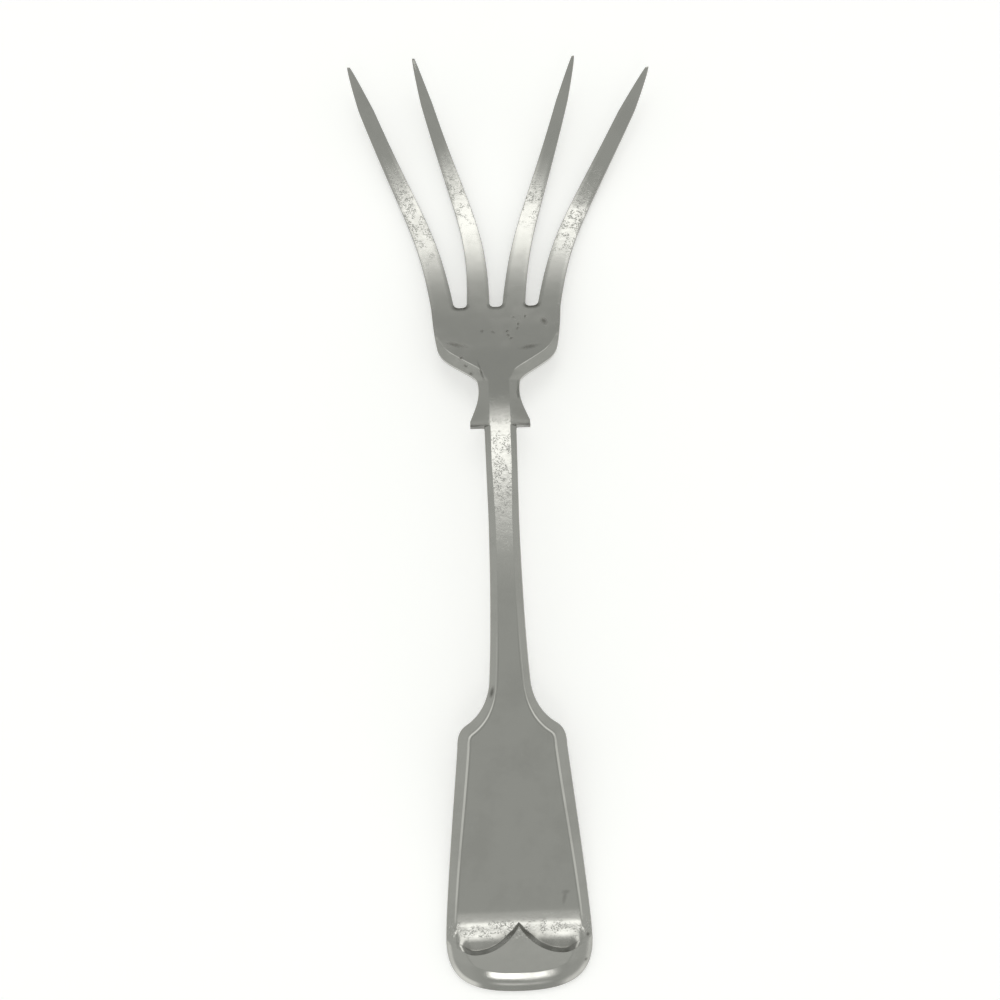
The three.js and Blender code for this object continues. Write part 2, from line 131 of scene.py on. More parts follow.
# Side strips: heights above the floor in degrees
STRIP_HEIGHT = (3, 7, 19, 26)
LAMP_COLOUR = (1.0, 0.995, 0.975, 1.0)
BACKDROP_COLOUR = (1.0, 1.0, 0.992, 1.0)

# Points closer than this are one point
WELD = 0.00001 * MM


def millimetres(name, description, default):
    """A length that a user may change, given in millimetres."""
    return bpy.props.FloatProperty(
        name=name, description=description, default=default * MM, min=0.0, precision=4, unit="LENGTH"
    )


def four_lengths(name, description, default):
    """One length for each tine, from left to right, given in millimetres."""
    return bpy.props.FloatVectorProperty(
        name=name, description=description, size=4, default=[value * MM for value in default],
        precision=4, unit="LENGTH",
    )


def four_angles(name, description, default):
    """One angle for each tine, from left to right, given in degrees."""
    return bpy.props.FloatVectorProperty(
        name=name, description=description, size=4, default=[math.radians(value) for value in default],
        unit="ROTATION",
    )


def share_of(name, description, default):
    return bpy.props.FloatProperty(
        name=name, description=description, default=default, min=0.0, max=1.0, subtype="FACTOR"
    )


def colour(name, description, default):
    return bpy.props.FloatVectorProperty(
        name=name, description=description, size=3, default=default, min=0.0, max=1.0, subtype="COLOR"
    )


def strength(name, description, default):
    return bpy.props.FloatProperty(name=name, description=description, default=default, min=0.0)


class ForkSizes(bpy.types.PropertyGroup):
    """Lengths, widths and heights of the fork."""

    handle_length: millimetres("Handle length", "From the handle's end to the stem", 54.8)
    stem_length: millimetres("Stem length", "From the handle to the ledge of the neck", 47.9)
    neck_length: millimetres("Neck length", "From the ledge to the palm", 9.2)
    palm_length: millimetres("Palm length", "From the neck to the slots", 15.6)
    rest_length: millimetres("Rest length", "Flat under the handle's end", 14)

    handle_end_width: millimetres("Handle end width", "Across the widest place of the handle", 26.5)
    handle_end_round: millimetres("Handle end round", "Length of the rounded end", 9.5)
    shoulder_width: millimetres("Shoulder width", "Across the handle's shoulders", 20.1)
    shoulder_height: millimetres("Shoulder height", "From the shoulders to the stem", 11.1)
    shoulder_round: millimetres("Shoulder round", "Length of the shoulders' corners", 4.2)

    stem_root_width: millimetres("Stem root width", "Stem where it leaves the handle", 7.7)
    stem_width: millimetres("Stem width", "Stem at its narrowest", 5.7)
    stem_top_width: millimetres("Stem top width", "Stem where it meets the neck", 6)
    ledge_width: millimetres("Ledge width", "Across the points of the neck's ledge", 11.2)
    ledge_rise: millimetres("Ledge rise", "Upright part of the ledge's points", 1)
    waist_width: millimetres("Waist width", "Neck at its narrowest", 7.7)
    neck_top_width: millimetres("Neck top width", "Neck where it meets the palm", 8.1)

    palm_shoulder_width: millimetres("Palm shoulder width", "Across the palm's lower corners", 23)
    palm_shoulder_length: millimetres("Palm shoulder length", "From the neck to the corners", 7.6)
    palm_width: millimetres("Palm width", "Across the palm at the slots", 24.7)
    slot_width: millimetres("Slot width", "Between the tines at their roots", 2.4)
    slot_fillet: millimetres("Slot fillet", "Rounding in the slots' corners", 0.8)
    outer_shank_width: millimetres("Outer shank width", "Outer tines before their points", 2.8)
    inner_shank_width: millimetres("Inner shank width", "Inner tines before their points", 2.2)
    tine_point_length: millimetres("Tine point length", "The last taper of each tine", 8)
    tine_point_width: millimetres("Tine point width", "Across the very point", 0.4)
    tine_out: four_lengths("Tine spread", "Points from the middle line", (26.8, 14.2, 16.7, 31))
    tine_reach: four_lengths("Tine reach", "Points beyond the slots", (48.15, 49.25, 48.75, 46.25))
    tine_sweep: bpy.props.FloatVectorProperty(
        name="Tine sweep", description="How late each tine turns up to its point", size=4,
        default=(1.8, 2.15, 1.7, 1.3), min=1.1,
    )
    tine_root_lean: four_angles("Tine root lean", "Outward lean at the root", (8.5, -1.8, 5.7, 10.5))
    tine_point_lean: four_angles("Tine point lean", "Outward lean at the point", (21, 15.3, 16.7, 27.8))

    arch_height: millimetres("Arch height", "Underside of the stem above the table", 9)
    arch_to_ledge: millimetres("Arch to ledge", "From the top of the arch to the ledge", 10.4)
    arch_early: bpy.props.FloatProperty(
        name="Early arch", description="Below 1, most of the rise to the arch comes under the handle",
        default=0.72, min=0.5,
    )
    bend_from_palm: millimetres("Bend from palm", "From the slots to the tines' lowest place", 20)
    point_lift: millimetres("Point lift", "Underside of the longest point above the table", 8)

    handle_thickness: millimetres("Handle thickness", "At the crest of the bevel", 1.9)
    stem_thickness: millimetres("Stem thickness", "At the arch", 2.9)
    palm_thickness: millimetres("Palm thickness", "Across the palm", 2.1)
    tine_point_thickness: millimetres("Point thickness", "At the points of the tines", 0.9)
    tine_thinning: bpy.props.FloatProperty(
        name="Tine thinning", description="How late the tines grow thin", default=1.6, min=1.0
    )
    tip_thickness: millimetres("Tip thickness", "Through the raised tip", 3)
    tip_seat_thickness: millimetres("Tip seat thickness", "Handle under the raised tip", 0.95)

    handle_bevel: millimetres("Handle bevel", "Width of the bevel at the handle's shoulders", 1.8)
    handle_end_bevel: millimetres("Handle end bevel", "Width of the bevel by the raised tip", 1.35)
    handle_bevel_drop: millimetres("Handle bevel drop", "Fall of that bevel", 0.45)
    panel_sink: millimetres("Panel sink", "Panel below the crest of the bevel", 0.36)
    stem_bevel: millimetres("Stem bevel", "Width of the stem's bevels", 1.1)
    stem_bevel_drop: millimetres("Stem bevel drop", "Fall of the stem's bevels", 0.6)
    palm_bevel: millimetres("Palm bevel", "Width of the bevel at the palm's corners", 2)
    palm_bevel_drop: millimetres("Palm bevel drop", "Fall of that bevel", 0.6)
    palm_bevel_length: millimetres("Palm bevel length", "How far the bevel runs up the palm", 10)
    tine_bevel: millimetres("Tine bevel", "Width of the tines' bevels", 0.6)
    tine_bevel_drop: millimetres("Tine bevel drop", "Fall of the tines' bevels", 0.05)

    tip_rim_length: millimetres("Tip rim length", "From the end to where the tip meets the rim", 8.8)
    tip_lobe_length: millimetres("Tip lobe length", "From the end to the lowest place of a lobe", 6.5)
    tip_lobe_spacing: millimetres("Tip lobe spacing", "Between the two lobes", 16)
    tip_cusp_length: millimetres("Tip cusp length", "From the end to the middle cusp", 11.4)
    tip_roll: millimetres("Tip roll", "Width of the roll round the tip's edge", 3.2)
    cove_length: millimetres("Cove length", "From the end to where the panel starts to rise", 12.0)
    cove_rise: share_of("Cove rise", "How far the panel rises to the tip's height before the lobes", 0.48)
    cove_fillet: millimetres("Cove fillet", "Wall up to the tip's edge", 0.9)

    drop_length: millimetres("Drop length", "Tongue behind the palm", 8.5)
    drop_width: millimetres("Drop width", "Across the tongue", 6.6)
    drop_thickness: millimetres("Drop thickness", "Tongue at the neck", 1)
    drop_end_thickness: millimetres("Drop end thickness", "Tongue at its end", 0.6)


class ForkFinish(bpy.types.PropertyGroup):
    """Colours, smudges, pits and scratches of the silver."""

    silver: colour("Silver", "Polished silver", (0.47, 0.468, 0.446))
    # Patina colour, also used for the painted shade in the slots, on the ledge, along the step and in the
    # lobes
    tarnish_and_shade: colour("Tarnish", "Silver dulled in the hollows", (0.09, 0.087, 0.077))
    roughness: share_of("Roughness", "Of the polished surface", 0.11)
    smudges: share_of("Smudges", "How strongly the polish is dulled in patches", 0.5)
    pits: share_of("Pits", "How strongly worn places are pitted", 0.8)
    scratches: share_of("Scratches", "How strongly use has scratched the surface", 0.5)


class ForkStudio(bpy.types.PropertyGroup):
    """Floor, light and camera."""

    floor: colour("Floor", "Plain floor", (0.95, 0.95, 0.945))
    floor_lift: colour("Floor lift", "Brings the floor up to white in the picture", (0.315, 0.315, 0.315))
    surround: colour("Surround", "Soft light of the room", (0.557, 0.568, 0.543))
    overhead_light: strength("Overhead light", "Soft panel overhead, towards the tines", 1.6)
    front_light: strength("Front light", "Small panel before the handle", 3.0)
    side_light: strength("Side light", "Low strips at both sides", 0.4)
    corner_light: strength("Corner light", "Low strips before the handle's corners", 0.25)
    camera_height: bpy.props.FloatProperty(
        name="Camera elevation", description="Above the floor", default=math.radians(78), unit="ROTATION"
    )
    camera_roll: bpy.props.FloatProperty(
        name="Camera roll", description="Turn of the picture", default=math.radians(2.125), unit="ROTATION"
    )
    camera_distance: millimetres("Camera distance", "From the aim", 420)
    camera_aim: bpy.props.FloatVectorProperty(
        name="Camera aim", description="Place in the middle of the picture", size=3,
        default=(-0.575 * MM, 82.55 * MM, 6 * MM), subtype="TRANSLATION", unit="LENGTH",
    )
    camera_lens: bpy.props.FloatProperty(
        name="Camera lens", description="Focal length in millimetres", default=81.1, unit="CAMERA"
    )


def lerp(start, end, share):
    return start + (end - start) * share


def ease(share):
    """Runs from 0 to 1 with a level start and finish."""
    return (1 - np.cos(np.pi * np.clip(share, 0, 1))) / 2


def along(y, places):
    """Eases between values that hold at places along the fork."""
    y = np.asarray(y, dtype=float)
    value = np.full(y.shape, float(places[0][1]))
    for (from_y, from_value), (to_y, to_value) in zip(places, places[1:]):
        eased = lerp(from_value, to_value, ease((y - from_y) / (to_y - from_y)))
        value = np.where(y >= from_y, eased, value)
    return value


def curve(*points, steps=60):
    """Points along a Bezier curve."""
    share = np.linspace(0, 1, steps + 1)[:, None]
    degree = len(points) - 1
    return sum(
        math.comb(degree, i) * share**i * (1 - share) ** (degree - i) * np.array(point)
        for i, point in enumerate(points)
    )


def chain(*lines):
    """Lines that follow each other, as one line with no point twice."""
    points = np.concatenate(lines)
    moved = np.hypot(*np.diff(points, axis=0).T) > WELD
    return points[np.concatenate([[True], moved])]


def flipped(line):
    """A line on the other side of the middle, run the other way."""
    return line[::-1] * (-1, 1)


def lengths_along(line):
    return np.concatenate([[0], np.cumsum(np.hypot(*np.diff(line, axis=0).T))])


def walk(line, places):
    """Points and headings at distances along a line."""
    reached = lengths_along(line)
    heading = np.gradient(line, reached, axis=0)
    points = np.stack([np.interp(places, reached, line[:, k]) for k in (0, 1)], axis=1)
    turned = np.stack([np.interp(places, reached, heading[:, k]) for k in (0, 1)], axis=1)
    return points, turned / np.linalg.norm(turned, axis=1, keepdims=True)


def distance_to(line, x, y):
    """Shortest distance, seen from above, from points to a line."""
    start = line[:-1]
    step = np.diff(line, axis=0)
    squared = (step**2).sum(axis=1)
    points = np.stack([x.ravel(), y.ravel()], axis=1)
    nearest = np.empty(len(points))
    batch = 3000
    for first in range(0, len(points), batch):
        away = points[first:first + batch, None] - start
        share = np.clip((away * step).sum(axis=2) / squared, 0, 1)
        gap = away - share[..., None] * step
        nearest[first:first + batch] = np.sqrt((gap**2).sum(axis=2).min(axis=1))
    return nearest.reshape(x.shape)


def bump_round(value, middle, width):
    """1 at the middle of a worn stretch, fading to 0 over its width."""
    return np.exp(-(((value - middle) / width) ** 2))


def marked(x, y):
    """Depth of the marks at places on the front, and how dark they are."""
    dark = np.zeros(x.shape)
    for across, along_y, half_length, half_width, turn, strength in MARKS_AND_SHADE_DASHES:
        angle = math.radians(turn)
        off_x, off_y = x - across * MM, y - along_y * MM
        far = (off_x * math.cos(angle) + off_y * math.sin(angle)) / (half_length * MM)
        wide = (off_y * math.cos(angle) - off_x * math.sin(angle)) / (half_width * MM)
        dark = np.maximum(dark, strength * np.exp(-((far**2 + wide**2) ** 1.5)))
    return MARK_DEPTH * dark, dark


def rounding(edge, radius):
    """How far a rounded edge falls away at a distance from it."""
    inside = np.clip(radius - edge, 0, radius)
    return radius - np.sqrt(radius**2 - inside**2)


def bevel_fall(inside, bevel, drop):
    """How far a bevel has fallen at a distance inside its edge, with a softened crest."""
    outside = bevel - inside
    return (drop / bevel) * (outside + np.sqrt(outside**2 + CREST_ROUND**2)) / 2


def bevelled(height, edge, bevel, drop, sink):
    """Front height at a distance from the edge: rounding, bevel, crest, then a sunk panel."""
    step = np.clip((edge - bevel) * STEP_SLOPE, 0, sink)
    return height - bevel_fall(edge, bevel, drop) - step - rounding(edge, EDGE_RADIUS)


def band(bevel):
    """Distances from the edge of the columns that follow it: rounding, bevel, crest and step."""
    fillet = EDGE_RADIUS * (1 - np.cos(np.linspace(0, np.pi / 2, 7)))
    across = np.array([0.15, 0.35, 0.6, 0.82])
    crest = np.array([-0.18, -0.08, -0.03, 0, 0.04, 0.15, 0.3, 0.44, 0.5, 0.56, 0.7]) * MM
    bevel = np.asarray(bevel, dtype=float)[:, None]
    rounded = np.broadcast_to(fillet, (len(bevel), len(fillet)))
    return np.concatenate(
        [rounded, EDGE_RADIUS + (bevel - EDGE_RADIUS - 0.2 * MM) * across, bevel + crest], axis=1
    )


def half_rows(points, inward, offsets, columns):
    """Right-hand halves of rows: even columns from the middle, then columns that follow the edge."""
    edge = (points[:, None] + inward[:, None] * offsets[..., None])[:, ::-1]
    shares = np.linspace(0, 1, columns, endpoint=False)[:, None]
    middle = edge[:, :1] * np.concatenate([shares, np.ones_like(shares)], axis=1)
    return np.concatenate([middle, edge], axis=1)


def whole_rows(right):
    """Rows from the left edge to the right one."""
    return np.concatenate([right[:, :0:-1] * (-1, 1), right], axis=1)


def square_rows(points, offsets, columns):
    """Rows that run straight across the fork."""
    inward = np.broadcast_to((-1.0, 0.0), points.shape)
    return whole_rows(half_rows(points, inward, offsets, columns))


class ForkShape:
    """The fork's outlines and surfaces, worked out from its sizes."""

    def __init__(self, sizes):
        self.sizes = sizes
        self.end_y = -sizes.rest_length / 2
        self.rest_end_y = sizes.rest_length / 2
        self.stem_y = self.end_y + sizes.handle_length
        self.ledge_y = self.stem_y + sizes.stem_length
        self.palm_y = self.ledge_y + sizes.neck_length
        self.slot_y = self.palm_y + sizes.palm_length
        self.shoulder_y = self.stem_y - sizes.shoulder_height
        self.palm_shoulder_y = self.palm_y + sizes.palm_shoulder_length
        self.arch_y = self.ledge_y - sizes.arch_to_ledge
        self.bend_y = self.slot_y + sizes.bend_from_palm
        self.point_y = self.slot_y + max(sizes.tine_reach)
        self.rim_y = self.end_y + sizes.tip_rim_length
        self.cove_y = self.end_y + sizes.cove_length
        self.flat_half = sizes.stem_top_width / 2 - sizes.stem_bevel
        self.tine_root_width = (sizes.palm_width - 3 * sizes.slot_width) / 4

    def back(self, y, sweep=2.0):
        """Underside: level under the handle's end, arched at the stem, down to the bend and up again."""
        sizes = self.sizes
        share = np.clip((y - self.rest_end_y) / (self.arch_y - self.rest_end_y), 0, 1)
        rise = sizes.arch_height * ease(share**sizes.arch_early)
        fall = along(y, [(self.arch_y, sizes.arch_height), (self.bend_y, 0)])
        body = np.where(y < self.arch_y, rise, fall)
        lift = np.clip((y - self.bend_y) / (self.point_y - self.bend_y), 0, None)
        return body + sizes.point_lift * lift**sweep

    def thickness(self, y):
        sizes = self.sizes
        body = along(y, [
            (self.shoulder_y, sizes.handle_thickness),
            (self.arch_y, sizes.stem_thickness),
            (self.ledge_y, sizes.stem_thickness),
            (self.palm_shoulder_y, sizes.palm_thickness),
        ])
        share = np.clip((y - self.slot_y) / (self.point_y - self.slot_y), 0, 1)
        return lerp(body, sizes.tine_point_thickness, share**sizes.tine_thinning)

    def front(self, y):
        return self.back(y) + self.thickness(y)

    def bevel(self, y):
        sizes = self.sizes
        return along(y, [
            (self.cove_y, sizes.handle_end_bevel),
            (self.shoulder_y, sizes.handle_bevel),
            (self.stem_y, sizes.stem_bevel),
            (self.ledge_y, sizes.stem_bevel),
            (self.palm_y, sizes.neck_top_width / 2 - self.flat_half),
            (self.palm_y + sizes.palm_bevel_length / 2, sizes.palm_bevel),
            (self.palm_y + sizes.palm_bevel_length, sizes.tine_bevel),
        ])

    def bevel_drop(self, y):
        sizes = self.sizes
        return along(y, [
            (self.shoulder_y, sizes.handle_bevel_drop),
            (self.stem_y, sizes.stem_bevel_drop),
            (self.palm_y, sizes.stem_bevel_drop),
            (self.palm_y + sizes.palm_bevel_length / 2, sizes.palm_bevel_drop),
            (self.palm_y + sizes.palm_bevel_length, sizes.tine_bevel_drop),
        ])

    def sink(self, y):
        """The panel lies below the bevel's crest on the handle and on the stem's lower part."""
        sink = self.sizes.panel_sink
        return along(y, [
            (self.shoulder_y, sink), (self.stem_y + 3 * MM, 0.7 * sink),
            (self.stem_y + 18 * MM, 0.35 * sink), (self.ledge_y, 0),
        ])

    def step_width(self, y):
        return self.sink(y) / STEP_SLOPE

    def pitting(self, y):
        """Where use has pitted the front of handle and stem: the cove and the arch."""
        cove = bump_round(y, self.cove_y - 0.9 * MM, 1.5 * MM)
        arch = bump_round(y, self.arch_y + MM, 9 * MM)
        return lerp(LIGHT_PITTING, 1, np.maximum(cove, arch))

    def step_shade(self, edge, y):
        """Painted shade along the foot of the step inside the bevel."""
        return 0.25 * bump_round(edge - self.bevel(y), self.step_width(y) + 0.1 * MM, 0.12 * MM)

    def handle_edge(self):
        """Right-hand edge of the handle, from the middle of its end to the stem."""
        sizes = self.sizes
        end, shoulder = sizes.handle_end_width / 2, sizes.shoulder_width / 2
        stem = sizes.stem_root_width / 2
        round_y = self.end_y + sizes.handle_end_round
        corner, corner_y = shoulder - sizes.shoulder_round / 2, self.shoulder_y + sizes.shoulder_round
        return chain(
            curve((0, self.end_y), (end * 0.72, self.end_y), (end, lerp(self.end_y, round_y, 0.27)),
                  (end, round_y), steps=160),
            curve((end, round_y), (lerp(shoulder, end, 0.97), lerp(round_y, self.shoulder_y, 0.2)),
                  (lerp(shoulder, end, 0.15), lerp(round_y, self.shoulder_y, 0.85)),
                  (shoulder, self.shoulder_y)),
            curve((shoulder, self.shoulder_y), (shoulder, lerp(self.shoulder_y, corner_y, 0.65)),
                  (lerp(corner, shoulder, 0.5), lerp(self.shoulder_y, corner_y, 0.85)),
                  (corner, corner_y)),
            curve((corner, corner_y), (lerp(corner, stem, 0.45), lerp(corner_y, self.stem_y, 0.18)),
                  (lerp(corner, stem, 0.88), lerp(corner_y, self.stem_y, 0.5)), (stem, self.stem_y)),
        )

    def stem_edge(self):
        sizes = self.sizes
        root, narrow = sizes.stem_root_width / 2, sizes.stem_width / 2

        def at(share):
            return lerp(self.stem_y, self.ledge_y, share)

        return chain(
            curve((root, self.stem_y), (lerp(narrow, root, 0.4), at(0.15)), (narrow, at(0.4)),
                  (narrow, at(0.65))),
            curve((narrow, at(0.65)), (sizes.stem_top_width / 2, self.ledge_y)),
        )

    def neck_edge(self):
        """Right-hand edge of the neck, flared from its waist to a point at the ledge."""
        sizes = self.sizes
        ledge, waist, top = sizes.ledge_width / 2, sizes.waist_width / 2, sizes.neck_top_width / 2
        waist_y = lerp(self.ledge_y, self.palm_y, 0.8)
        rise_y = self.ledge_y + sizes.ledge_rise
        return chain(
            curve((ledge, self.ledge_y), (ledge, rise_y), steps=8),
            curve((ledge, rise_y), (lerp(waist, ledge, 0.45), lerp(self.ledge_y, waist_y, 0.45)),
                  (waist, lerp(self.ledge_y, waist_y, 0.7)), (waist, waist_y)),
            curve((waist, waist_y), (waist, lerp(waist_y, self.palm_y, 0.5)), (top, self.palm_y)),
        )

    def palm_edge(self):
        sizes = self.sizes
        neck, shoulder = sizes.neck_top_width / 2, sizes.palm_shoulder_width / 2
        slope, slope_y = lerp(neck, shoulder, 0.33), lerp(self.palm_y, self.palm_shoulder_y, 0.28)
        wide = sizes.palm_width / 2
        return chain(
            curve((neck, self.palm_y), (lerp(neck, slope, 0.12), lerp(self.palm_y, slope_y, 0.3)),
                  (lerp(neck, slope, 0.5), lerp(self.palm_y, slope_y, 0.65)), (slope, slope_y)),
            curve((slope, slope_y),
                  (lerp(slope, shoulder, 0.6), lerp(slope_y, self.palm_shoulder_y, 0.37)),
                  (lerp(slope, shoulder, 0.92), lerp(slope_y, self.palm_shoulder_y, 0.5)),
                  (shoulder, self.palm_shoulder_y)),
            curve((shoulder, self.palm_shoulder_y),
                  (lerp(shoulder, wide, 0.45), lerp(self.palm_shoulder_y, self.slot_y, 0.25)),
                  (lerp(shoulder, wide, 0.8), lerp(self.palm_shoulder_y, self.slot_y, 0.6)),
                  (wide, self.slot_y)),
        )

    def tip_bracket(self):
        """Right half of the raised tip's edge, from the middle cusp over a lobe to the rim."""
        sizes = self.sizes
        lobe, lobe_y = sizes.tip_lobe_spacing / 2, self.end_y + sizes.tip_lobe_length
        cusp_y = self.end_y + sizes.tip_cusp_length
        handle = self.handle_edge()
        rim = np.interp(self.rim_y, handle[:, 1], handle[:, 0])
        return chain(
            curve((0, cusp_y), (lobe * 0.2, lerp(lobe_y, cusp_y, 0.45)), (lobe * 0.55, lobe_y),
                  (lobe, lobe_y)),
            curve((lobe, lobe_y), (lerp(rim, lobe, 0.6), lobe_y),
                  (lerp(rim, lobe, 0.4), lerp(self.rim_y, lobe_y, 0.2)), (rim, self.rim_y)),
        )

    def tip_top(self, edge, soft=0.0):
        """Height of the raised tip at a distance from its rolled edge, with a soft or sharp crest."""
        sizes = self.sizes
        low = sizes.handle_thickness - sizes.handle_bevel_drop - EDGE_RADIUS
        share = 1 - edge / sizes.tip_roll
        share = np.clip((share + np.sqrt(share**2 + soft**2)) / 2, 0, 1)
        return lerp(sizes.tip_thickness, low, lerp(share**3, share, ROLL_EVEN))

    def handle_front(self, x, y):
        """The handle's bevel, sunk panel and the cove that rises to the raised tip."""
        sizes = self.sizes
        outline = chain(self.handle_edge(), self.stem_edge())
        edge = distance_to(outline, np.abs(x), y)
        into = (self.cove_y - y) / (self.cove_y - self.rim_y)
        into = (into + np.sqrt(into**2 + COVE_SOFT_START**2)) / 2
        gone = np.clip(into, 0, 1)
        late = np.clip(gone - COVE_STRAIGHT, 0, None) / (1 - COVE_STRAIGHT)
        climb = (2 * gone - late**2 * (1 - COVE_STRAIGHT)) / (1 + COVE_STRAIGHT)
        rim = ease((np.abs(x) - LOBE_END) / (RIM_START - LOBE_END))
        outer_rise = np.clip(OUTER_RISE * into, 0, 1)
        border_rise = np.clip((outer_rise - RISE_TO_CREST) / (1 - RISE_TO_CREST), 0, 1)
        panel_rise = lerp(climb * sizes.cove_rise, outer_rise, rim)
        tip = self.tip_top(edge, soft=ROLL_SOFT)
        border = bevelled(self.front(y), edge, self.bevel(y), self.bevel_drop(y), 0)
        border = lerp(border, tip, border_rise)
        panel = lerp(self.front(y) - self.sink(y), tip, panel_rise)
        inside = np.clip((edge - self.bevel(y)) / self.step_width(y), 0, 1)
        height = lerp(border, panel, inside)
        foot = distance_to(self.tip_bracket(), np.abs(x), y)
        below_cusp = ease((self.end_y + sizes.tip_cusp_length - y) / CUSP_FADE)
        fillet = sizes.cove_fillet * lerp(CUSP_FILLET, 1, below_cusp)
        wall = np.clip(1 - foot / fillet, 0, 1) ** WALL_POWER
        # Patina and painted shade in the lobes along the foot of the wall; it also dims the highlight where
        # the wall starts
        outwards = np.clip(np.abs(x) / SHADE_FADE_START, 0, 1)
        reach = sizes.cove_fillet * lerp(CUSP_SHADE_REACH, OUTER_SHADE_REACH, outwards)
        strength = lerp(LEFT_SHADE, RIGHT_SHADE, ease((x + SHADE_TURN / 2) / SHADE_TURN))
        floor = strength * np.clip(1 - foot / reach, 0, 1) ** SHADE_POWER
        crease = CREASE_SHADE * bump_round(foot, 0.95 * fillet, CREASE_WIDTH)
        shade = np.maximum(floor, crease) * below_cusp
        fade = (np.abs(x) - SHADE_FADE_START) / (SHADE_FADE_END - SHADE_FADE_START)
        shade = shade * (1 - ease(fade))
        return lerp(height, tip, wall), {"edge": edge, "shade": shade}

    def tine(self, number):
        """Left and right edges of a tine at rows up its length: root, fillets, shank and point."""
        sizes = self.sizes
        side = -1 if number < 2 else 1
        outer = number in (0, 3)
        shank = sizes.outer_shank_width if outer else sizes.inner_shank_width
        root_x = (sizes.slot_width + self.tine_root_width) / 2
        if outer:
            root_x += sizes.slot_width + self.tine_root_width
        reach = sizes.tine_reach[number]
        root = np.array((side * root_x, self.slot_y))
        point = np.array((side * sizes.tine_out[number], self.slot_y + reach))
        length = np.linalg.norm(point - root)

        def towards(lean):
            return np.array((math.sin(side * lean), math.cos(lean)))

        centre = curve(
            root, root + towards(sizes.tine_root_lean[number]) * length * 0.35,
            point - towards(sizes.tine_point_lean[number]) * length * 0.6, point, steps=300,
        )
        fillet = sizes.slot_fillet * (1 - np.cos(np.linspace(0, np.pi / 2, 10, endpoint=False)))
        total = lengths_along(centre)[-1]
        taper = np.linspace(total - 2 * MM, total, 14)
        shank_places = np.linspace(sizes.slot_fillet, total - 2 * MM, 150, endpoint=False)
        middle, heading = walk(centre, np.concatenate([fillet, shank_places, taper]))
        y = middle[:, 1]
        up = y - self.slot_y
        shank_length = reach - sizes.tine_point_length
        left_to_go = np.clip((reach - up) / sizes.tine_point_length, 0, 1)
        width = np.where(
            up < shank_length,
            lerp(self.tine_root_width, shank, up / shank_length),
            lerp(sizes.tine_point_width, shank, left_to_go**0.7),
        )
        half = width / (2 * heading[:, 1])
        into = np.clip(1 - up / sizes.slot_fillet, 0, 1)
        foot = sizes.slot_fillet * (1 - np.sqrt(1 - into**2))
        left = middle[:, 0] - half - (0 if outer and side < 0 else foot)
        right = middle[:, 0] + half + (0 if outer and side > 0 else foot)
        return y, left, right

    def head_outline(self):
        """The whole edge of neck, palm and tines, from the right of the ledge to the left."""
        near = chain(self.neck_edge(), self.palm_edge())
        lines = [near]
        for number in (3, 2, 1, 0):
            y, left, right = self.tine(number)
            lines.append(np.stack([right, y], axis=1))
            lines.append(np.stack([left, y], axis=1)[::-1])
        lines.append(flipped(near))
        return chain(*lines)


def slab(front, back):
    """Faces of a closed piece between a front and a back grid over the same plan."""
    rows, columns = front.shape[:2]
    top = np.arange(rows * columns).reshape(rows, columns)
    low = top + rows * columns

    def quads(grid):
        return np.stack([grid[:-1, :-1], grid[:-1, 1:], grid[1:, 1:], grid[1:, :-1]], axis=-1)

    def ring(grid):
        loop = [grid[0], grid[1:, -1], grid[-1, -2::-1], grid[-2:0:-1, 0]]
        return np.concatenate(loop)

    above, below = ring(top), ring(low)
    wall = np.stack([above, below, np.roll(below, -1), np.roll(above, -1)], axis=-1)
    faces = [quads(top).reshape(-1, 4), quads(low)[..., ::-1].reshape(-1, 4), wall]
    points = np.concatenate([front.reshape(-1, 3), back.reshape(-1, 3)])
    return points, np.concatenate(faces)


def welded(points, faces):
    """Joins points in the same place and drops the faces that this closes up."""
    _, first, again = np.unique(
        np.round(points / WELD).astype(np.int64), axis=0, return_index=True, return_inverse=True
    )
    joined = [list(dict.fromkeys(face)) for face in again.ravel()[faces].tolist()]
    return first, [face for face in joined if len(face) > 2]


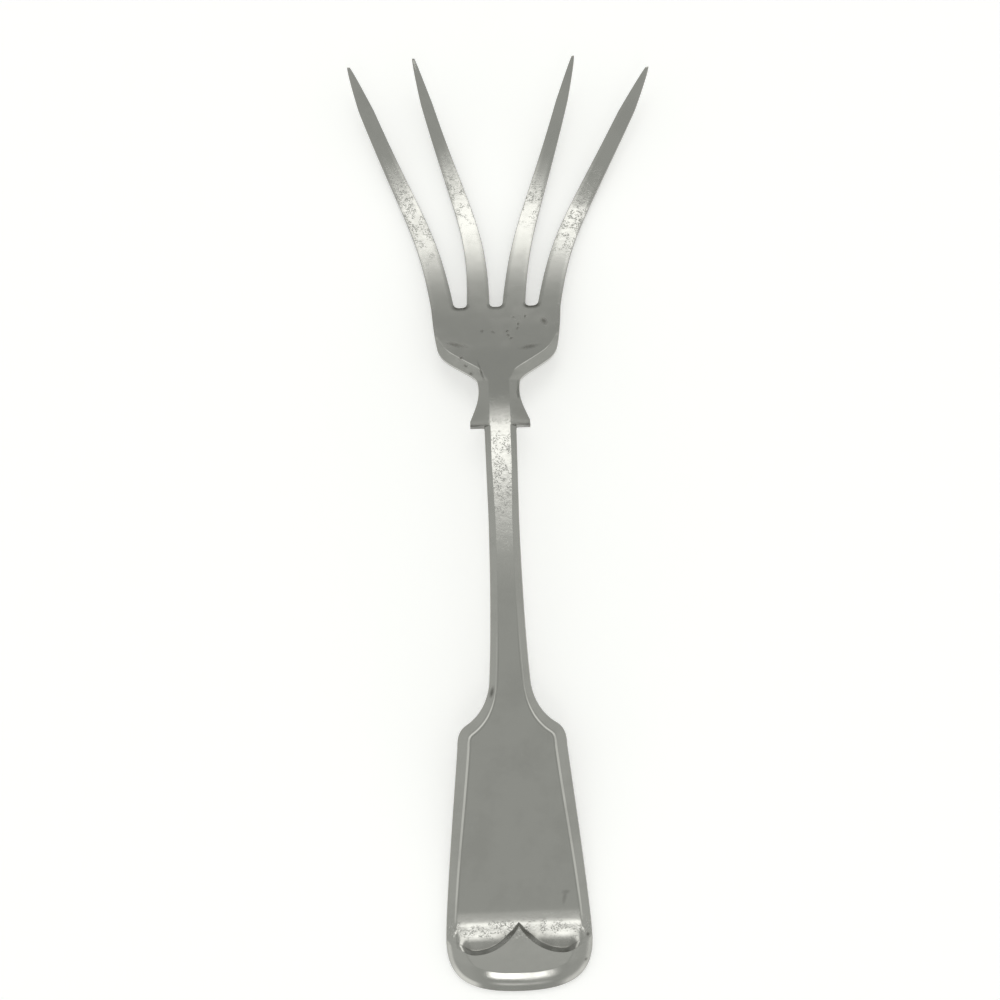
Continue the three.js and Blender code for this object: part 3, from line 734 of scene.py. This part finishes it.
def add_piece(name, node, solids, finish):
    """Makes one closed piece of the fork that stands for a CAD node.

    Each solid is a front grid, a back grid, and the front's pitting and its darkening by patina,
    marks and painted shade. That darkening on an edge of the front runs down the side there.
    """
    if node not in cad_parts:
        raise RuntimeError(f"the frame has no node {node}")
    all_points, all_faces, pitting, grime_and_shade = [], [], [], []
    for front, back, pits, dirt_and_shade in solids:
        points, faces = slab(front, back)
        kept, faces = welded(points, faces)
        used = sorted({corner for face in faces for corner in face})
        renumber = {old: new + sum(map(len, all_points)) for new, old in enumerate(used)}
        kept = kept[used]
        all_points.append(points[kept])
        all_faces += [[renumber[corner] for corner in face] for face in faces]
        plain = np.zeros(back.shape[0] * back.shape[1])
        pitting.append(np.concatenate([np.broadcast_to(pits, front.shape[:2]).ravel(), plain + 0.2])[kept])
        darkened = np.broadcast_to(dirt_and_shade, front.shape[:2])
        under = np.array(darkened)
        under[1:-1, 1:-1] = 0
        grime_and_shade.append(np.concatenate([darkened.ravel(), under.ravel()])[kept])
    mesh = bpy.data.meshes.new(name)
    mesh.from_pydata(np.concatenate(all_points).tolist(), [], all_faces)
    shared = {}
    for face in all_faces:
        for edge in zip(face, face[1:] + face[:1]):
            key = frozenset(edge)
            shared[key] = shared.get(key, 0) + 1
    if set(shared.values()) != {2}:
        raise RuntimeError(f"{name} is not a closed piece")
    for label, values in (("pitting", pitting), ("grime_and_shade", grime_and_shade)):
        layer = mesh.attributes.new(label, "FLOAT", "POINT")
        layer.data.foreach_set("value", np.concatenate(values).astype(np.float32))
    mesh.shade_smooth()
    mesh.set_sharp_from_angle(angle=math.radians(38))
    mesh.materials.append(silver_material(finish))
    piece = bpy.data.objects.new(name, mesh)
    bpy.context.scene.collection.objects.link(piece)
    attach(piece, "root")
    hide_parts(node)
    return piece


class Nodes:
    """Adds shader nodes to a node tree, linking the inputs that are other nodes' outputs."""

    def __init__(self, tree):
        self.tree = tree
        tree.nodes.clear()

    def add(self, kind, inputs=None, **settings):
        node = self.tree.nodes.new(kind)
        for key, value in settings.items():
            setattr(node, key, value)
        for key, value in (inputs or {}).items():
            if isinstance(value, bpy.types.NodeSocket):
                self.tree.links.new(value, node.inputs[key])
            else:
                node.inputs[key].default_value = value
        return node

    def math(self, operation, *values, clamp=False):
        inputs = dict(enumerate(values))
        return self.add("ShaderNodeMath", inputs, operation=operation, use_clamp=clamp).outputs[0]

    def stretch(self, value, low, high, to_low=0.0, to_high=1.0):
        """Maps a range of values smoothly to another."""
        inputs = {0: value, 1: low, 2: high, 3: to_low, 4: to_high}
        return self.add(
            "ShaderNodeMapRange", inputs, interpolation_type="SMOOTHSTEP"
        ).outputs[0]

    def noise(self, vector, scale, detail=3.0, roughness=0.55):
        inputs = {"Vector": vector, "Scale": scale, "Detail": detail, "Roughness": roughness}
        return self.add("ShaderNodeTexNoise", inputs).outputs["Fac"]

    def mix(self, share, first, second):
        node = self.add("ShaderNodeMix", data_type="RGBA")
        for socket, value in ((node.inputs[0], share), (node.inputs[6], first), (node.inputs[7], second)):
            if isinstance(value, bpy.types.NodeSocket):
                self.tree.links.new(value, socket)
            else:
                socket.default_value = value
        return node.outputs[2]


def silver_material(finish):
    """Worn silver: polished, dulled in patches, pitted and scratched, dark with patina and painted shade in
    the hollows.
    """
    name = "Worn silver"
    if name in bpy.data.materials:
        return bpy.data.materials[name]
    material = bpy.data.materials.new(name)
    material.use_nodes = True
    nodes = Nodes(material.node_tree)
    place = nodes.add("ShaderNodeTexCoord").outputs["Object"]
    pitting = nodes.add("ShaderNodeAttribute", attribute_name="pitting").outputs["Fac"]
    grime_and_shade = nodes.add("ShaderNodeAttribute", attribute_name="grime_and_shade").outputs["Fac"]

    smudge = nodes.stretch(nodes.noise(place, 140.0, 4.0, 0.6), 0.42, 0.72)
    cloud = nodes.noise(place, 420.0, 3.0)
    lengthwise = nodes.add(
        "ShaderNodeMapping", {"Vector": place, "Scale": (1.0, 0.06, 1.0), "Rotation": (0, 0, 0.2)}
    ).outputs[0]
    crosswise = nodes.add(
        "ShaderNodeMapping", {"Vector": place, "Scale": (0.05, 1.0, 1.0), "Rotation": (0, 0, -0.5)}
    ).outputs[0]
    scratch = nodes.math(
        "MAXIMUM",
        nodes.stretch(nodes.noise(lengthwise, 6000.0, 2.0), 0.66, 0.78),
        nodes.stretch(nodes.noise(crosswise, 5200.0, 2.0), 0.68, 0.8),
    )
    pit = nodes.stretch(nodes.noise(place, 3400.0, 3.0, 0.7), 0.53, 0.63)
    uneven = nodes.noise(place, 900.0, 4.0, 0.65)
    worn = nodes.math("MULTIPLY", pitting, nodes.stretch(nodes.noise(place, 520.0, 2.0), 0.45, 0.57))
    speck = nodes.math("MULTIPLY", pit, worn)

    # Patina, marks and painted shade from the mesh attribute, mottled by a cloud of noise
    dirt_and_shade = nodes.math("MULTIPLY", grime_and_shade, nodes.stretch(cloud, 0.25, 0.65, 0.55, 1.0))
    dull = nodes.math("MULTIPLY", smudge, 0.22 * finish.smudges)
    dark = nodes.math("MAXIMUM", nodes.math("MAXIMUM", dirt_and_shade, dull), nodes.math("MULTIPLY", speck, 0.12))
    colour_of = nodes.mix(dark, (*finish.silver, 1.0), (*finish.tarnish_and_shade, 1.0))
    roughness = nodes.math(
        "ADD",
        nodes.stretch(smudge, 0.0, 1.0, finish.roughness, finish.roughness + 0.12 * finish.smudges),
        nodes.math("ADD", nodes.math("MULTIPLY", scratch, 0.1 * finish.scratches),
                   nodes.math("MULTIPLY", dark, 0.3)),
        clamp=True,
    )
    waves = nodes.add(
        "ShaderNodeBump", {"Strength": 1.0, "Distance": 0.02 * MM, "Height": nodes.noise(place, 170.0, 2.0)}
    ).outputs[0]
    scored = nodes.add(
        "ShaderNodeBump",
        {"Strength": finish.scratches, "Distance": 0.002 * MM, "Height": scratch, "Normal": waves},
        invert=True,
    ).outputs[0]
    rippled = nodes.add(
        "ShaderNodeBump",
        {
            "Strength": finish.pits, "Distance": 0.07 * MM,
            "Height": nodes.math("MULTIPLY", uneven, pitting), "Normal": scored,
        },
    ).outputs[0]
    pocked = nodes.add(
        "ShaderNodeBump",
        {"Strength": finish.pits, "Distance": 0.04 * MM, "Height": speck, "Normal": rippled},
        invert=True,
    ).outputs[0]
    shader = nodes.add(
        "ShaderNodeBsdfPrincipled",
        {"Base Color": colour_of, "Roughness": roughness, "Metallic": 1.0, "Normal": pocked},
    )
    nodes.add("ShaderNodeOutputMaterial", {"Surface": shader.outputs[0]})
    return material


def settings(context):
    """The fork's shape and finish as the sidebar sets them."""
    return ForkShape(context.scene.silver_fork_sizes), context.scene.silver_fork_finish


def heights(plan, height):
    return np.concatenate([plan, height[..., None]], axis=-1)


def handle_grids(shape):
    """Plans of the handle: the end under the raised tip, and the panel from its edge to the stem."""
    sizes = shape.sizes
    edge = shape.handle_edge()
    reached = lengths_along(edge)
    rim_at = np.interp(shape.rim_y, edge[:, 1], reached)
    total = reached[-1]
    close, near = 2.6 * MM, 12 * MM
    places = np.concatenate([
        np.linspace(0, close, 24, endpoint=False),
        np.linspace(close, near, 34, endpoint=False),
        np.linspace(near, total - rim_at, 110),
    ])
    points, heading = walk(edge, rim_at + places)
    square = ease((total - rim_at - places) / (4 * MM))
    inward = np.stack([-heading[:, 1], heading[:, 0] * square], axis=1)
    panel = whole_rows(half_rows(points, inward, band(shape.bevel(points[:, 1])), 46))
    bracket = shape.tip_bracket()
    sag = np.interp(np.abs(panel[..., 0]), bracket[:, 0], bracket[:, 1]) - shape.rim_y
    fade = np.clip(1 - places / (10 * MM), 0, 1) ** 1.5
    panel[..., 1] += sag * fade[:, None]

    top = panel[0]
    columns = len(top) // 2
    right = top[columns:]
    share = lengths_along(right) / lengths_along(right)[-1]
    rolled, _ = walk(edge, share * rim_at)
    rolled[-1] = right[-1]
    bottom = np.concatenate([rolled[:0:-1] * (-1, 1), rolled])
    across = np.linalg.norm(top - bottom, axis=1)
    scale = np.minimum(1, across / (5.2 * MM))
    rim_rows = np.concatenate([
        [0, 0.02, 0.06, 0.12, 0.2, 0.3, 0.42, 0.58, 0.78, 1, 1.3, 1.65, 2, 2.4, 2.8], np.arange(3, 3.6, 0.04),
    ]) * MM
    lip_rows = np.array([0.8, 0.6, 0.42, 0.3, 0.22, 0.15, 0.09, 0.04, 0]) * MM
    rows = [scale * row for row in rim_rows]
    inner, outer = rows[-1], across - scale * lip_rows[0]
    rows += [lerp(inner, outer, step) for step in (0.2, 0.4, 0.6, 0.8)]
    rows += [across - scale * row for row in lip_rows]
    tau = np.stack(rows) / np.where(across > 0, across, 1)
    tip = bottom + (top - bottom) * tau[..., None]
    tip[:, 0], tip[:, -1] = top[0], top[-1]
    tip[-1] = top
    return tip, panel


class AddHandle(bpy.types.Operator):
    """Add the fiddle-shaped handle with its bevel, sunk panel and the seat of the raised tip"""

    bl_idname = "silver_fork.add_handle"
    bl_label = "Handle"
    bl_options = {"REGISTER", "UNDO"}

    def execute(self, context):
        shape, finish = settings(context)
        sizes = shape.sizes
        tip, panel = handle_grids(shape)
        height, edge_and_shade = shape.handle_front(panel[..., 0], panel[..., 1])
        depth, dark = marked(panel[..., 0], panel[..., 1])
        height[1:] -= depth[1:]
        seat = np.full(tip.shape[:2], sizes.tip_seat_thickness)
        seat[:, 0], seat[:, -1] = height[0, 0], height[0, -1]
        plan = np.concatenate([tip, panel])
        front = heights(plan, np.concatenate([seat, height]))
        outline = chain(shape.handle_edge(), shape.stem_edge())
        edge = distance_to(outline, np.abs(plan[..., 0]), plan[..., 1])
        back = heights(plan, shape.back(plan[..., 1]) + rounding(edge, BACK_RADIUS))
        panel_y = panel[..., 1]
        pits = shape.pitting(panel_y)
        # Painted shade along the step's foot by the cove, then patina and painted shade in the lobes, then
        # the marks
        dirt_and_shade = shape.step_shade(edge_and_shade["edge"], panel_y) * (panel_y > shape.cove_y - 4 * MM)
        dirt_and_shade = np.maximum(dirt_and_shade, edge_and_shade["shade"])
        dirt_and_shade = np.maximum(dirt_and_shade, MARK_DARKNESS * dark)
        hidden = np.zeros(tip.shape[:2])
        add_piece(
            "fork_handle", "handle",
            [(front, back, np.concatenate([hidden, pits]), np.concatenate([hidden, dirt_and_shade]))], finish,
        )
        return {"FINISHED"}


class AddHandleTip(bpy.types.Operator):
    """Add the raised tip with its rolled edge, two lobes and middle cusp"""

    bl_idname = "silver_fork.add_handle_tip"
    bl_label = "Raised tip"
    bl_options = {"REGISTER", "UNDO"}

    def execute(self, context):
        shape, finish = settings(context)
        tip, panel = handle_grids(shape)
        joint, _ = shape.handle_front(panel[0, :, 0], panel[0, :, 1])
        edge = distance_to(shape.handle_edge(), np.abs(tip[..., 0]), tip[..., 1])
        depth, dark = marked(tip[..., 0], tip[..., 1])
        height = shape.tip_top(edge) - depth
        height[-1] = joint
        height[:, 0], height[:, -1] = joint[0], joint[-1]
        low = np.full(tip.shape[:2], shape.sizes.tip_seat_thickness)
        low[:, 0], low[:, -1] = joint[0], joint[-1]
        pits = shape.pitting(tip[..., 1])
        solid = (heights(tip, height), heights(tip, low), pits, MARK_DARKNESS * dark)
        add_piece("fork_tip", "handle_tip", [solid], finish)
        return {"FINISHED"}


class AddStem(bpy.types.Operator):
    """Add the bevelled stem"""

    bl_idname = "silver_fork.add_stem"
    bl_label = "Stem"
    bl_options = {"REGISTER", "UNDO"}

    def execute(self, context):
        shape, finish = settings(context)
        line = shape.stem_edge()
        points, _ = walk(line, np.linspace(0, lengths_along(line)[-1], 150))
        plan = square_rows(points, band(shape.bevel(points[:, 1])), 8)
        x, y = plan[..., 0], plan[..., 1]
        edge = distance_to(chain(shape.handle_edge(), line), np.abs(x), y)
        height = bevelled(shape.front(y), edge, shape.bevel(y), shape.bevel_drop(y), shape.sink(y))
        back = shape.back(y) + rounding(edge, BACK_RADIUS)
        flat = ease((edge - shape.bevel(y) + 0.3 * MM) / (0.6 * MM))
        pits = lerp(0.1, 1, flat) * shape.pitting(y)
        # Painted shade along the step's foot where the stem leaves the handle
        dirt_and_shade = shape.step_shade(edge, y) * bump_round(y, shape.stem_y, 14 * MM)
        add_piece("fork_stem", "stem", [(heights(plan, height), heights(plan, back), pits, dirt_and_shade)], finish)
        return {"FINISHED"}


class AddNeck(bpy.types.Operator):
    """Add the flared neck with its ledge, and the drop behind the palm"""

    bl_idname = "silver_fork.add_neck"
    bl_label = "Neck"
    bl_options = {"REGISTER", "UNDO"}

    def execute(self, context):
        shape, finish = settings(context)
        sizes = shape.sizes
        line = shape.neck_edge()
        fillet = EDGE_RADIUS * (1 - np.cos(np.linspace(0, np.pi / 2, 6, endpoint=False)))
        total = lengths_along(line)[-1]
        places = np.concatenate([fillet, np.linspace(EDGE_RADIUS, total, 70)])
        points, _ = walk(line, places)
        plan = square_rows(points, band(points[:, 0] - shape.flat_half), 8)
        x, y = plan[..., 0], plan[..., 1]
        ledge = np.array([(sizes.stem_top_width / 2, shape.ledge_y), (sizes.ledge_width / 2, shape.ledge_y)])
        edge = distance_to(chain(ledge, line, shape.palm_edge()), np.abs(x), y)
        half = np.broadcast_to(points[:, :1], x.shape)
        across = half - np.abs(x)
        fall = bevel_fall(across, half - shape.flat_half, shape.bevel_drop(y))
        depth, dark = marked(x, y)
        height = shape.front(y) - fall - rounding(edge, EDGE_RADIUS) - depth * (y < shape.palm_y - 0.1 * MM)
        heel = shape.back(y) - sizes.drop_thickness * ease((y - shape.ledge_y) / sizes.neck_length)
        back = heel + rounding(edge, BACK_RADIUS)
        beside = ease((np.abs(x) - shape.flat_half) / MM)
        # Painted shade on the ledge and its face beside the stem
        ledge_shade = 0.85 * bump_round(y, shape.ledge_y, 0.35 * MM) * beside
        dirt_and_shade = np.maximum(ledge_shade, MARK_DARKNESS * dark)
        pits = lerp(shape.pitting(y), LIGHT_PITTING, beside)
        body = (heights(plan, height), heights(plan, back), pits, dirt_and_shade)
        add_piece("fork_neck", "neck", [body, self.drop(shape)], finish)
        return {"FINISHED"}

    def drop(self, shape):
        """The rounded tongue that runs from the neck on to the back of the palm."""
        sizes = shape.sizes
        start, end = shape.palm_y - 1.5 * MM, shape.palm_y + sizes.drop_length
        share = np.sin(np.linspace(0, np.pi / 2, 40))[:-1]
        y = lerp(start, end, share)
        half = (sizes.drop_width / 2) * np.sqrt(1 - share**3)
        across = np.sin(np.linspace(-np.pi / 2, np.pi / 2, 25))
        plan = np.stack([half[:, None] * across, np.broadcast_to(y[:, None], (len(y), 25))], axis=-1)
        depth = lerp(sizes.drop_thickness, sizes.drop_end_thickness, share)[:, None]
        belly = np.sqrt(np.clip(1 - np.abs(across) ** 4, 0, 1)) * np.sqrt(1 - share[:, None] ** 8)
        seat = shape.back(plan[..., 1]) + 0.05 * MM
        return heights(plan, seat), heights(plan, seat - 0.1 * MM - depth * belly), 0.1, 0.0


class AddPalm(bpy.types.Operator):
    """Add the palm with its bevelled lower corners and the bottoms of the slots"""

    bl_idname = "silver_fork.add_palm"
    bl_label = "Palm"
    bl_options = {"REGISTER", "UNDO"}

    def execute(self, context):
        shape, finish = settings(context)
        line = shape.palm_edge()
        total = lengths_along(line)[-1]
        last = 1.2 * MM
        places = np.concatenate([
            np.linspace(0, total - last, 96, endpoint=False), total - last * np.linspace(1, 0, 22) ** 1.5,
        ])
        points, heading = walk(line, places)
        square = ease(places / (2 * MM)) * ease((total - places) / (2 * MM))
        inward = np.stack([-heading[:, 1], heading[:, 0] * square], axis=1)
        plan = whole_rows(half_rows(points, inward, band(shape.bevel(points[:, 1])), 70))
        x, y = plan[..., 0], plan[..., 1]
        edge = distance_to(shape.head_outline(), x, y)
        half = np.interp(y, line[:, 1], line[:, 0])
        joined = ease((y - shape.palm_y) / (2 * MM))
        bevel_edge = lerp(half - np.abs(x), edge, joined)
        fall = bevel_fall(bevel_edge, shape.bevel(y), shape.bevel_drop(y))
        depth, dark = marked(x, y)
        depth = depth * ease((shape.slot_y - y) / MM) * ease((y - shape.palm_y) / MM)
        height = shape.front(y) - fall - rounding(edge, EDGE_RADIUS) - depth
        back = shape.back(y) + rounding(edge, BACK_RADIUS)
        pits = shape.pitting(y)
        # Painted shade in the bottoms of the slots
        slot_shade = bump_round(edge, 0.1 * MM, 0.5 * MM) * ease((y - shape.slot_y + 1.2 * MM) / MM)
        dirt_and_shade = slot_shade * (np.abs(x) < shape.sizes.palm_width / 2 - 2 * MM)
        dirt_and_shade = np.maximum(dirt_and_shade, MARK_DARKNESS * dark)
        add_piece("fork_palm", "palm", [(heights(plan, height), heights(plan, back), pits, dirt_and_shade)], finish)
        return {"FINISHED"}


class AddTines(bpy.types.Operator):
    """Add the four splayed tines"""

    bl_idname = "silver_fork.add_tines"
    bl_label = "Tines"
    bl_options = {"REGISTER", "UNDO"}

    def execute(self, context):
        shape, finish = settings(context)
        sizes = shape.sizes
        outline = shape.head_outline()
        steps = np.array([0, 0.004, 0.014, 0.03, 0.055, 0.085, 0.12, 0.16, 0.2, 0.25, 0.32, 0.4])
        across = np.concatenate([steps, [0.5], 1 - steps[::-1]])
        names = ("tine_outer_left", "tine_inner_left", "tine_inner_right", "tine_outer_right")
        for number, name in enumerate(names):
            y, left, right = shape.tine(number)
            x = left[:, None] + (right - left)[:, None] * across
            plan = np.stack([x, np.broadcast_to(y[:, None], x.shape)], axis=-1)
            y = plan[..., 1]
            half = (right - left)[:, None] / 2
            edge = distance_to(outline, x, y)
            bevel = np.minimum(sizes.tine_bevel, half / 2)
            thick = shape.thickness(y)
            drop = np.minimum(sizes.tine_bevel_drop, thick / 4)
            fall = bevel_fall(edge, bevel, drop)
            small = np.minimum(1, half / (0.6 * MM))
            underside = shape.back(y, sizes.tine_sweep[number])
            height = underside + thick - fall - small * rounding(edge, EDGE_RADIUS / 2)
            back = underside + small * rounding(edge, np.minimum(BACK_RADIUS, 0.3 * thick))
            middle, half_length = TINE_WEAR[number]
            pits = lerp(LIGHT_PITTING, 1, bump_round(y, middle * MM, half_length * MM))
            # Painted shade at the tines' roots, in the bottoms of the slots
            dirt_and_shade = 0.85 * bump_round(edge, 0.1 * MM, 0.45 * MM) * bump_round(y, shape.slot_y, 0.6 * MM)
            dirt_and_shade = dirt_and_shade * (np.abs(x) < sizes.palm_width / 2 - 2 * MM)
            add_piece(
                f"fork_{name}", name, [(heights(plan, height), heights(plan, back), pits, dirt_and_shade)], finish
            )
        return {"FINISHED"}


class AddStudio(bpy.types.Operator):
    """Add the floor, the light and the camera"""

    bl_idname = "silver_fork.add_studio"
    bl_label = "Studio"
    bl_options = {"REGISTER", "UNDO"}

    def execute(self, context):
        studio = context.scene.silver_fork_studio
        self.add_floor(studio)
        self.add_world(context.scene, studio)
        self.add_camera(context.scene, studio)
        context.scene.view_settings.view_transform = "Standard"
        return {"FINISHED"}

    def add_floor(self, studio):
        radius, sides = 4.0, 96
        ring = [
            (radius * math.cos(2 * math.pi * i / sides), radius * math.sin(2 * math.pi * i / sides), 0)
            for i in range(sides)
        ]
        mesh = bpy.data.meshes.new("studio_floor")
        mesh.from_pydata(ring, [], [list(range(sides))])
        material = bpy.data.materials.new("Studio floor")
        material.use_nodes = True
        nodes = Nodes(material.node_tree)
        rays = nodes.add("ShaderNodeLightPath").outputs
        seen = nodes.math("MAXIMUM", rays["Is Camera Ray"], rays["Is Glossy Ray"])
        seen = nodes.math("MAXIMUM", seen, rays["Is Transmission Ray"])
        shader = nodes.add(
            "ShaderNodeBsdfPrincipled",
            {
                "Base Color": (*studio.floor, 1.0), "Roughness": 0.9, "Specular IOR Level": 0.0,
                "Emission Color": (*studio.floor_lift, 1.0), "Emission Strength": seen,
            },
        )
        nodes.add("ShaderNodeOutputMaterial", {"Surface": shader.outputs[0]})
        mesh.materials.append(material)
        floor = bpy.data.objects.new("studio_floor", mesh)
        bpy.context.scene.collection.objects.link(floor)

    def add_world(self, scene, studio):
        """A softly lit room with panels overhead and in front, and low strips round the sides."""
        world = bpy.data.worlds.new("Studio")
        world.use_nodes = True
        scene.world = world
        nodes = Nodes(world.node_tree)
        direction = nodes.add("ShaderNodeTexCoord").outputs["Generated"]
        parts = nodes.add("ShaderNodeSeparateXYZ", {0: direction}).outputs
        ahead, high = parts["Y"], parts["Z"]
        sideways = nodes.math("ABSOLUTE", parts["X"])
        tilt = nodes.math("ARCTAN2", ahead, high)

        def sine(degrees):
            return math.sin(math.radians(degrees))

        def between(value, ramp, measure):
            """1 in the middle of a ramp of four angles in degrees, fading out to its ends."""
            low, low_full, high_full, high_end = (measure(angle) for angle in ramp)
            rise = nodes.stretch(value, low, low_full)
            fall = nodes.stretch(value, high_full, high_end, 1.0, 0.0)
            return nodes.math("MULTIPLY", rise, fall)

        def panel(ramp, width, soft_width):
            """A soft-edged panel between four tilts, as far to both sides as its width."""
            within = nodes.stretch(sideways, sine(width), sine(soft_width), 1.0, 0.0)
            return nodes.math("MULTIPLY", between(tilt, ramp, math.radians), within)

        overhead = panel(OVERHEAD_TILT, *OVERHEAD_WIDTH)
        front = panel(FRONT_TILT, *FRONT_WIDTH)
        low_front = panel(LOW_FRONT_TILT, *LOW_FRONT_WIDTH)
        front = nodes.math("MULTIPLY_ADD", low_front, LOW_FRONT_SHARE, front)
        aside = nodes.stretch(sideways, 0.25, 0.4)
        not_behind = nodes.stretch(ahead, 0.0, 0.3, 1.0, 0.0)
        beside = nodes.math("MULTIPLY", aside, not_behind)
        strips = nodes.math("MULTIPLY", between(high, STRIP_HEIGHT, sine), beside)
        corners = nodes.math("MULTIPLY", strips, nodes.stretch(ahead, -0.6, -0.3, 1.0, 0.0))
        total = nodes.math("MULTIPLY", nodes.stretch(sideways, 0.15, 0.5), 0.09)
        parts_and_levels = (
            (overhead, studio.overhead_light), (front, studio.front_light),
            (strips, studio.side_light), (corners, studio.corner_light),
        )
        for part, level in parts_and_levels:
            total = nodes.math("MULTIPLY_ADD", part, level, total)
        beyond = nodes.stretch(tilt, math.radians(26), math.radians(46), 1.0, 0.83)
        before = nodes.stretch(tilt, math.radians(-32), math.radians(-22), 0.93, 1.0)
        level = nodes.math("MULTIPLY", beyond, before)
        room = nodes.add("ShaderNodeBackground", {"Color": (*studio.surround, 1.0), "Strength": level})
        lamps = nodes.add("ShaderNodeBackground", {"Color": LAMP_COLOUR, "Strength": total})
        both = nodes.add("ShaderNodeAddShader", {0: room.outputs[0], 1: lamps.outputs[0]})
        backdrop = nodes.add("ShaderNodeBackground", {"Color": BACKDROP_COLOUR, "Strength": 1.0})
        seen = nodes.add("ShaderNodeLightPath").outputs["Is Camera Ray"]
        shown = nodes.add("ShaderNodeMixShader", {0: seen, 1: both.outputs[0], 2: backdrop.outputs[0]})
        nodes.add("ShaderNodeOutputWorld", {"Surface": shown.outputs[0]})

    def add_camera(self, scene, studio):
        data = bpy.data.cameras.new("studio_camera")
        data.sensor_width = 36.0
        data.lens = studio.camera_lens
        data.clip_start, data.clip_end = 0.01, 20.0
        camera = bpy.data.objects.new("studio_camera", data)
        high, roll = studio.camera_height, studio.camera_roll
        ahead = Vector((0, math.cos(high), -math.sin(high)))
        level = Vector((0, math.sin(high), math.cos(high)))
        right = math.cos(roll) * Vector((1, 0, 0)) - math.sin(roll) * level
        up = math.sin(roll) * Vector((1, 0, 0)) + math.cos(roll) * level
        turn = Matrix((right, up, -ahead)).transposed()
        place = Vector(studio.camera_aim) - ahead * studio.camera_distance
        camera.matrix_world = Matrix.Translation(place) @ turn.to_4x4()
        scene.collection.objects.link(camera)
        scene.camera = camera


PIECES = (AddHandle, AddHandleTip, AddStem, AddNeck, AddPalm, AddTines, AddStudio)


class ForkPanel(bpy.types.Panel):
    """Sidebar panel with the fork's pieces, sizes and finish"""

    bl_idname = "VIEW3D_PT_silver_fork"
    bl_label = "Silver Serving Fork"
    bl_space_type = "VIEW_3D"
    bl_region_type = "UI"
    bl_category = "Fork"

    def draw(self, context):
        column = self.layout.column(align=True)
        for operator in PIECES:
            column.operator(operator.bl_idname)
        for group in ("silver_fork_sizes", "silver_fork_finish", "silver_fork_studio"):
            values = getattr(context.scene, group)
            box = self.layout.box().column(align=True)
            for name in values.__annotations__:
                box.prop(values, name)


GROUPS = (ForkSizes, ForkFinish, ForkStudio)


def register():
    for item in (*GROUPS, *PIECES, ForkPanel):
        bpy.utils.register_class(item)
    bpy.types.Scene.silver_fork_sizes = bpy.props.PointerProperty(type=ForkSizes)
    bpy.types.Scene.silver_fork_finish = bpy.props.PointerProperty(type=ForkFinish)
    bpy.types.Scene.silver_fork_studio = bpy.props.PointerProperty(type=ForkStudio)


def unregister():
    del bpy.types.Scene.silver_fork_studio
    del bpy.types.Scene.silver_fork_finish
    del bpy.types.Scene.silver_fork_sizes
    for item in (ForkPanel, *PIECES[::-1], *GROUPS[::-1]):
        bpy.utils.unregister_class(item)


def main():
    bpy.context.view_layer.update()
    register()
    bpy.ops.silver_fork.add_handle()
    bpy.ops.silver_fork.add_handle_tip()
    bpy.ops.silver_fork.add_stem()
    bpy.ops.silver_fork.add_neck()
    bpy.ops.silver_fork.add_palm()
    bpy.ops.silver_fork.add_tines()
    bpy.ops.silver_fork.add_studio()


if __name__ == "__main__":
    main()
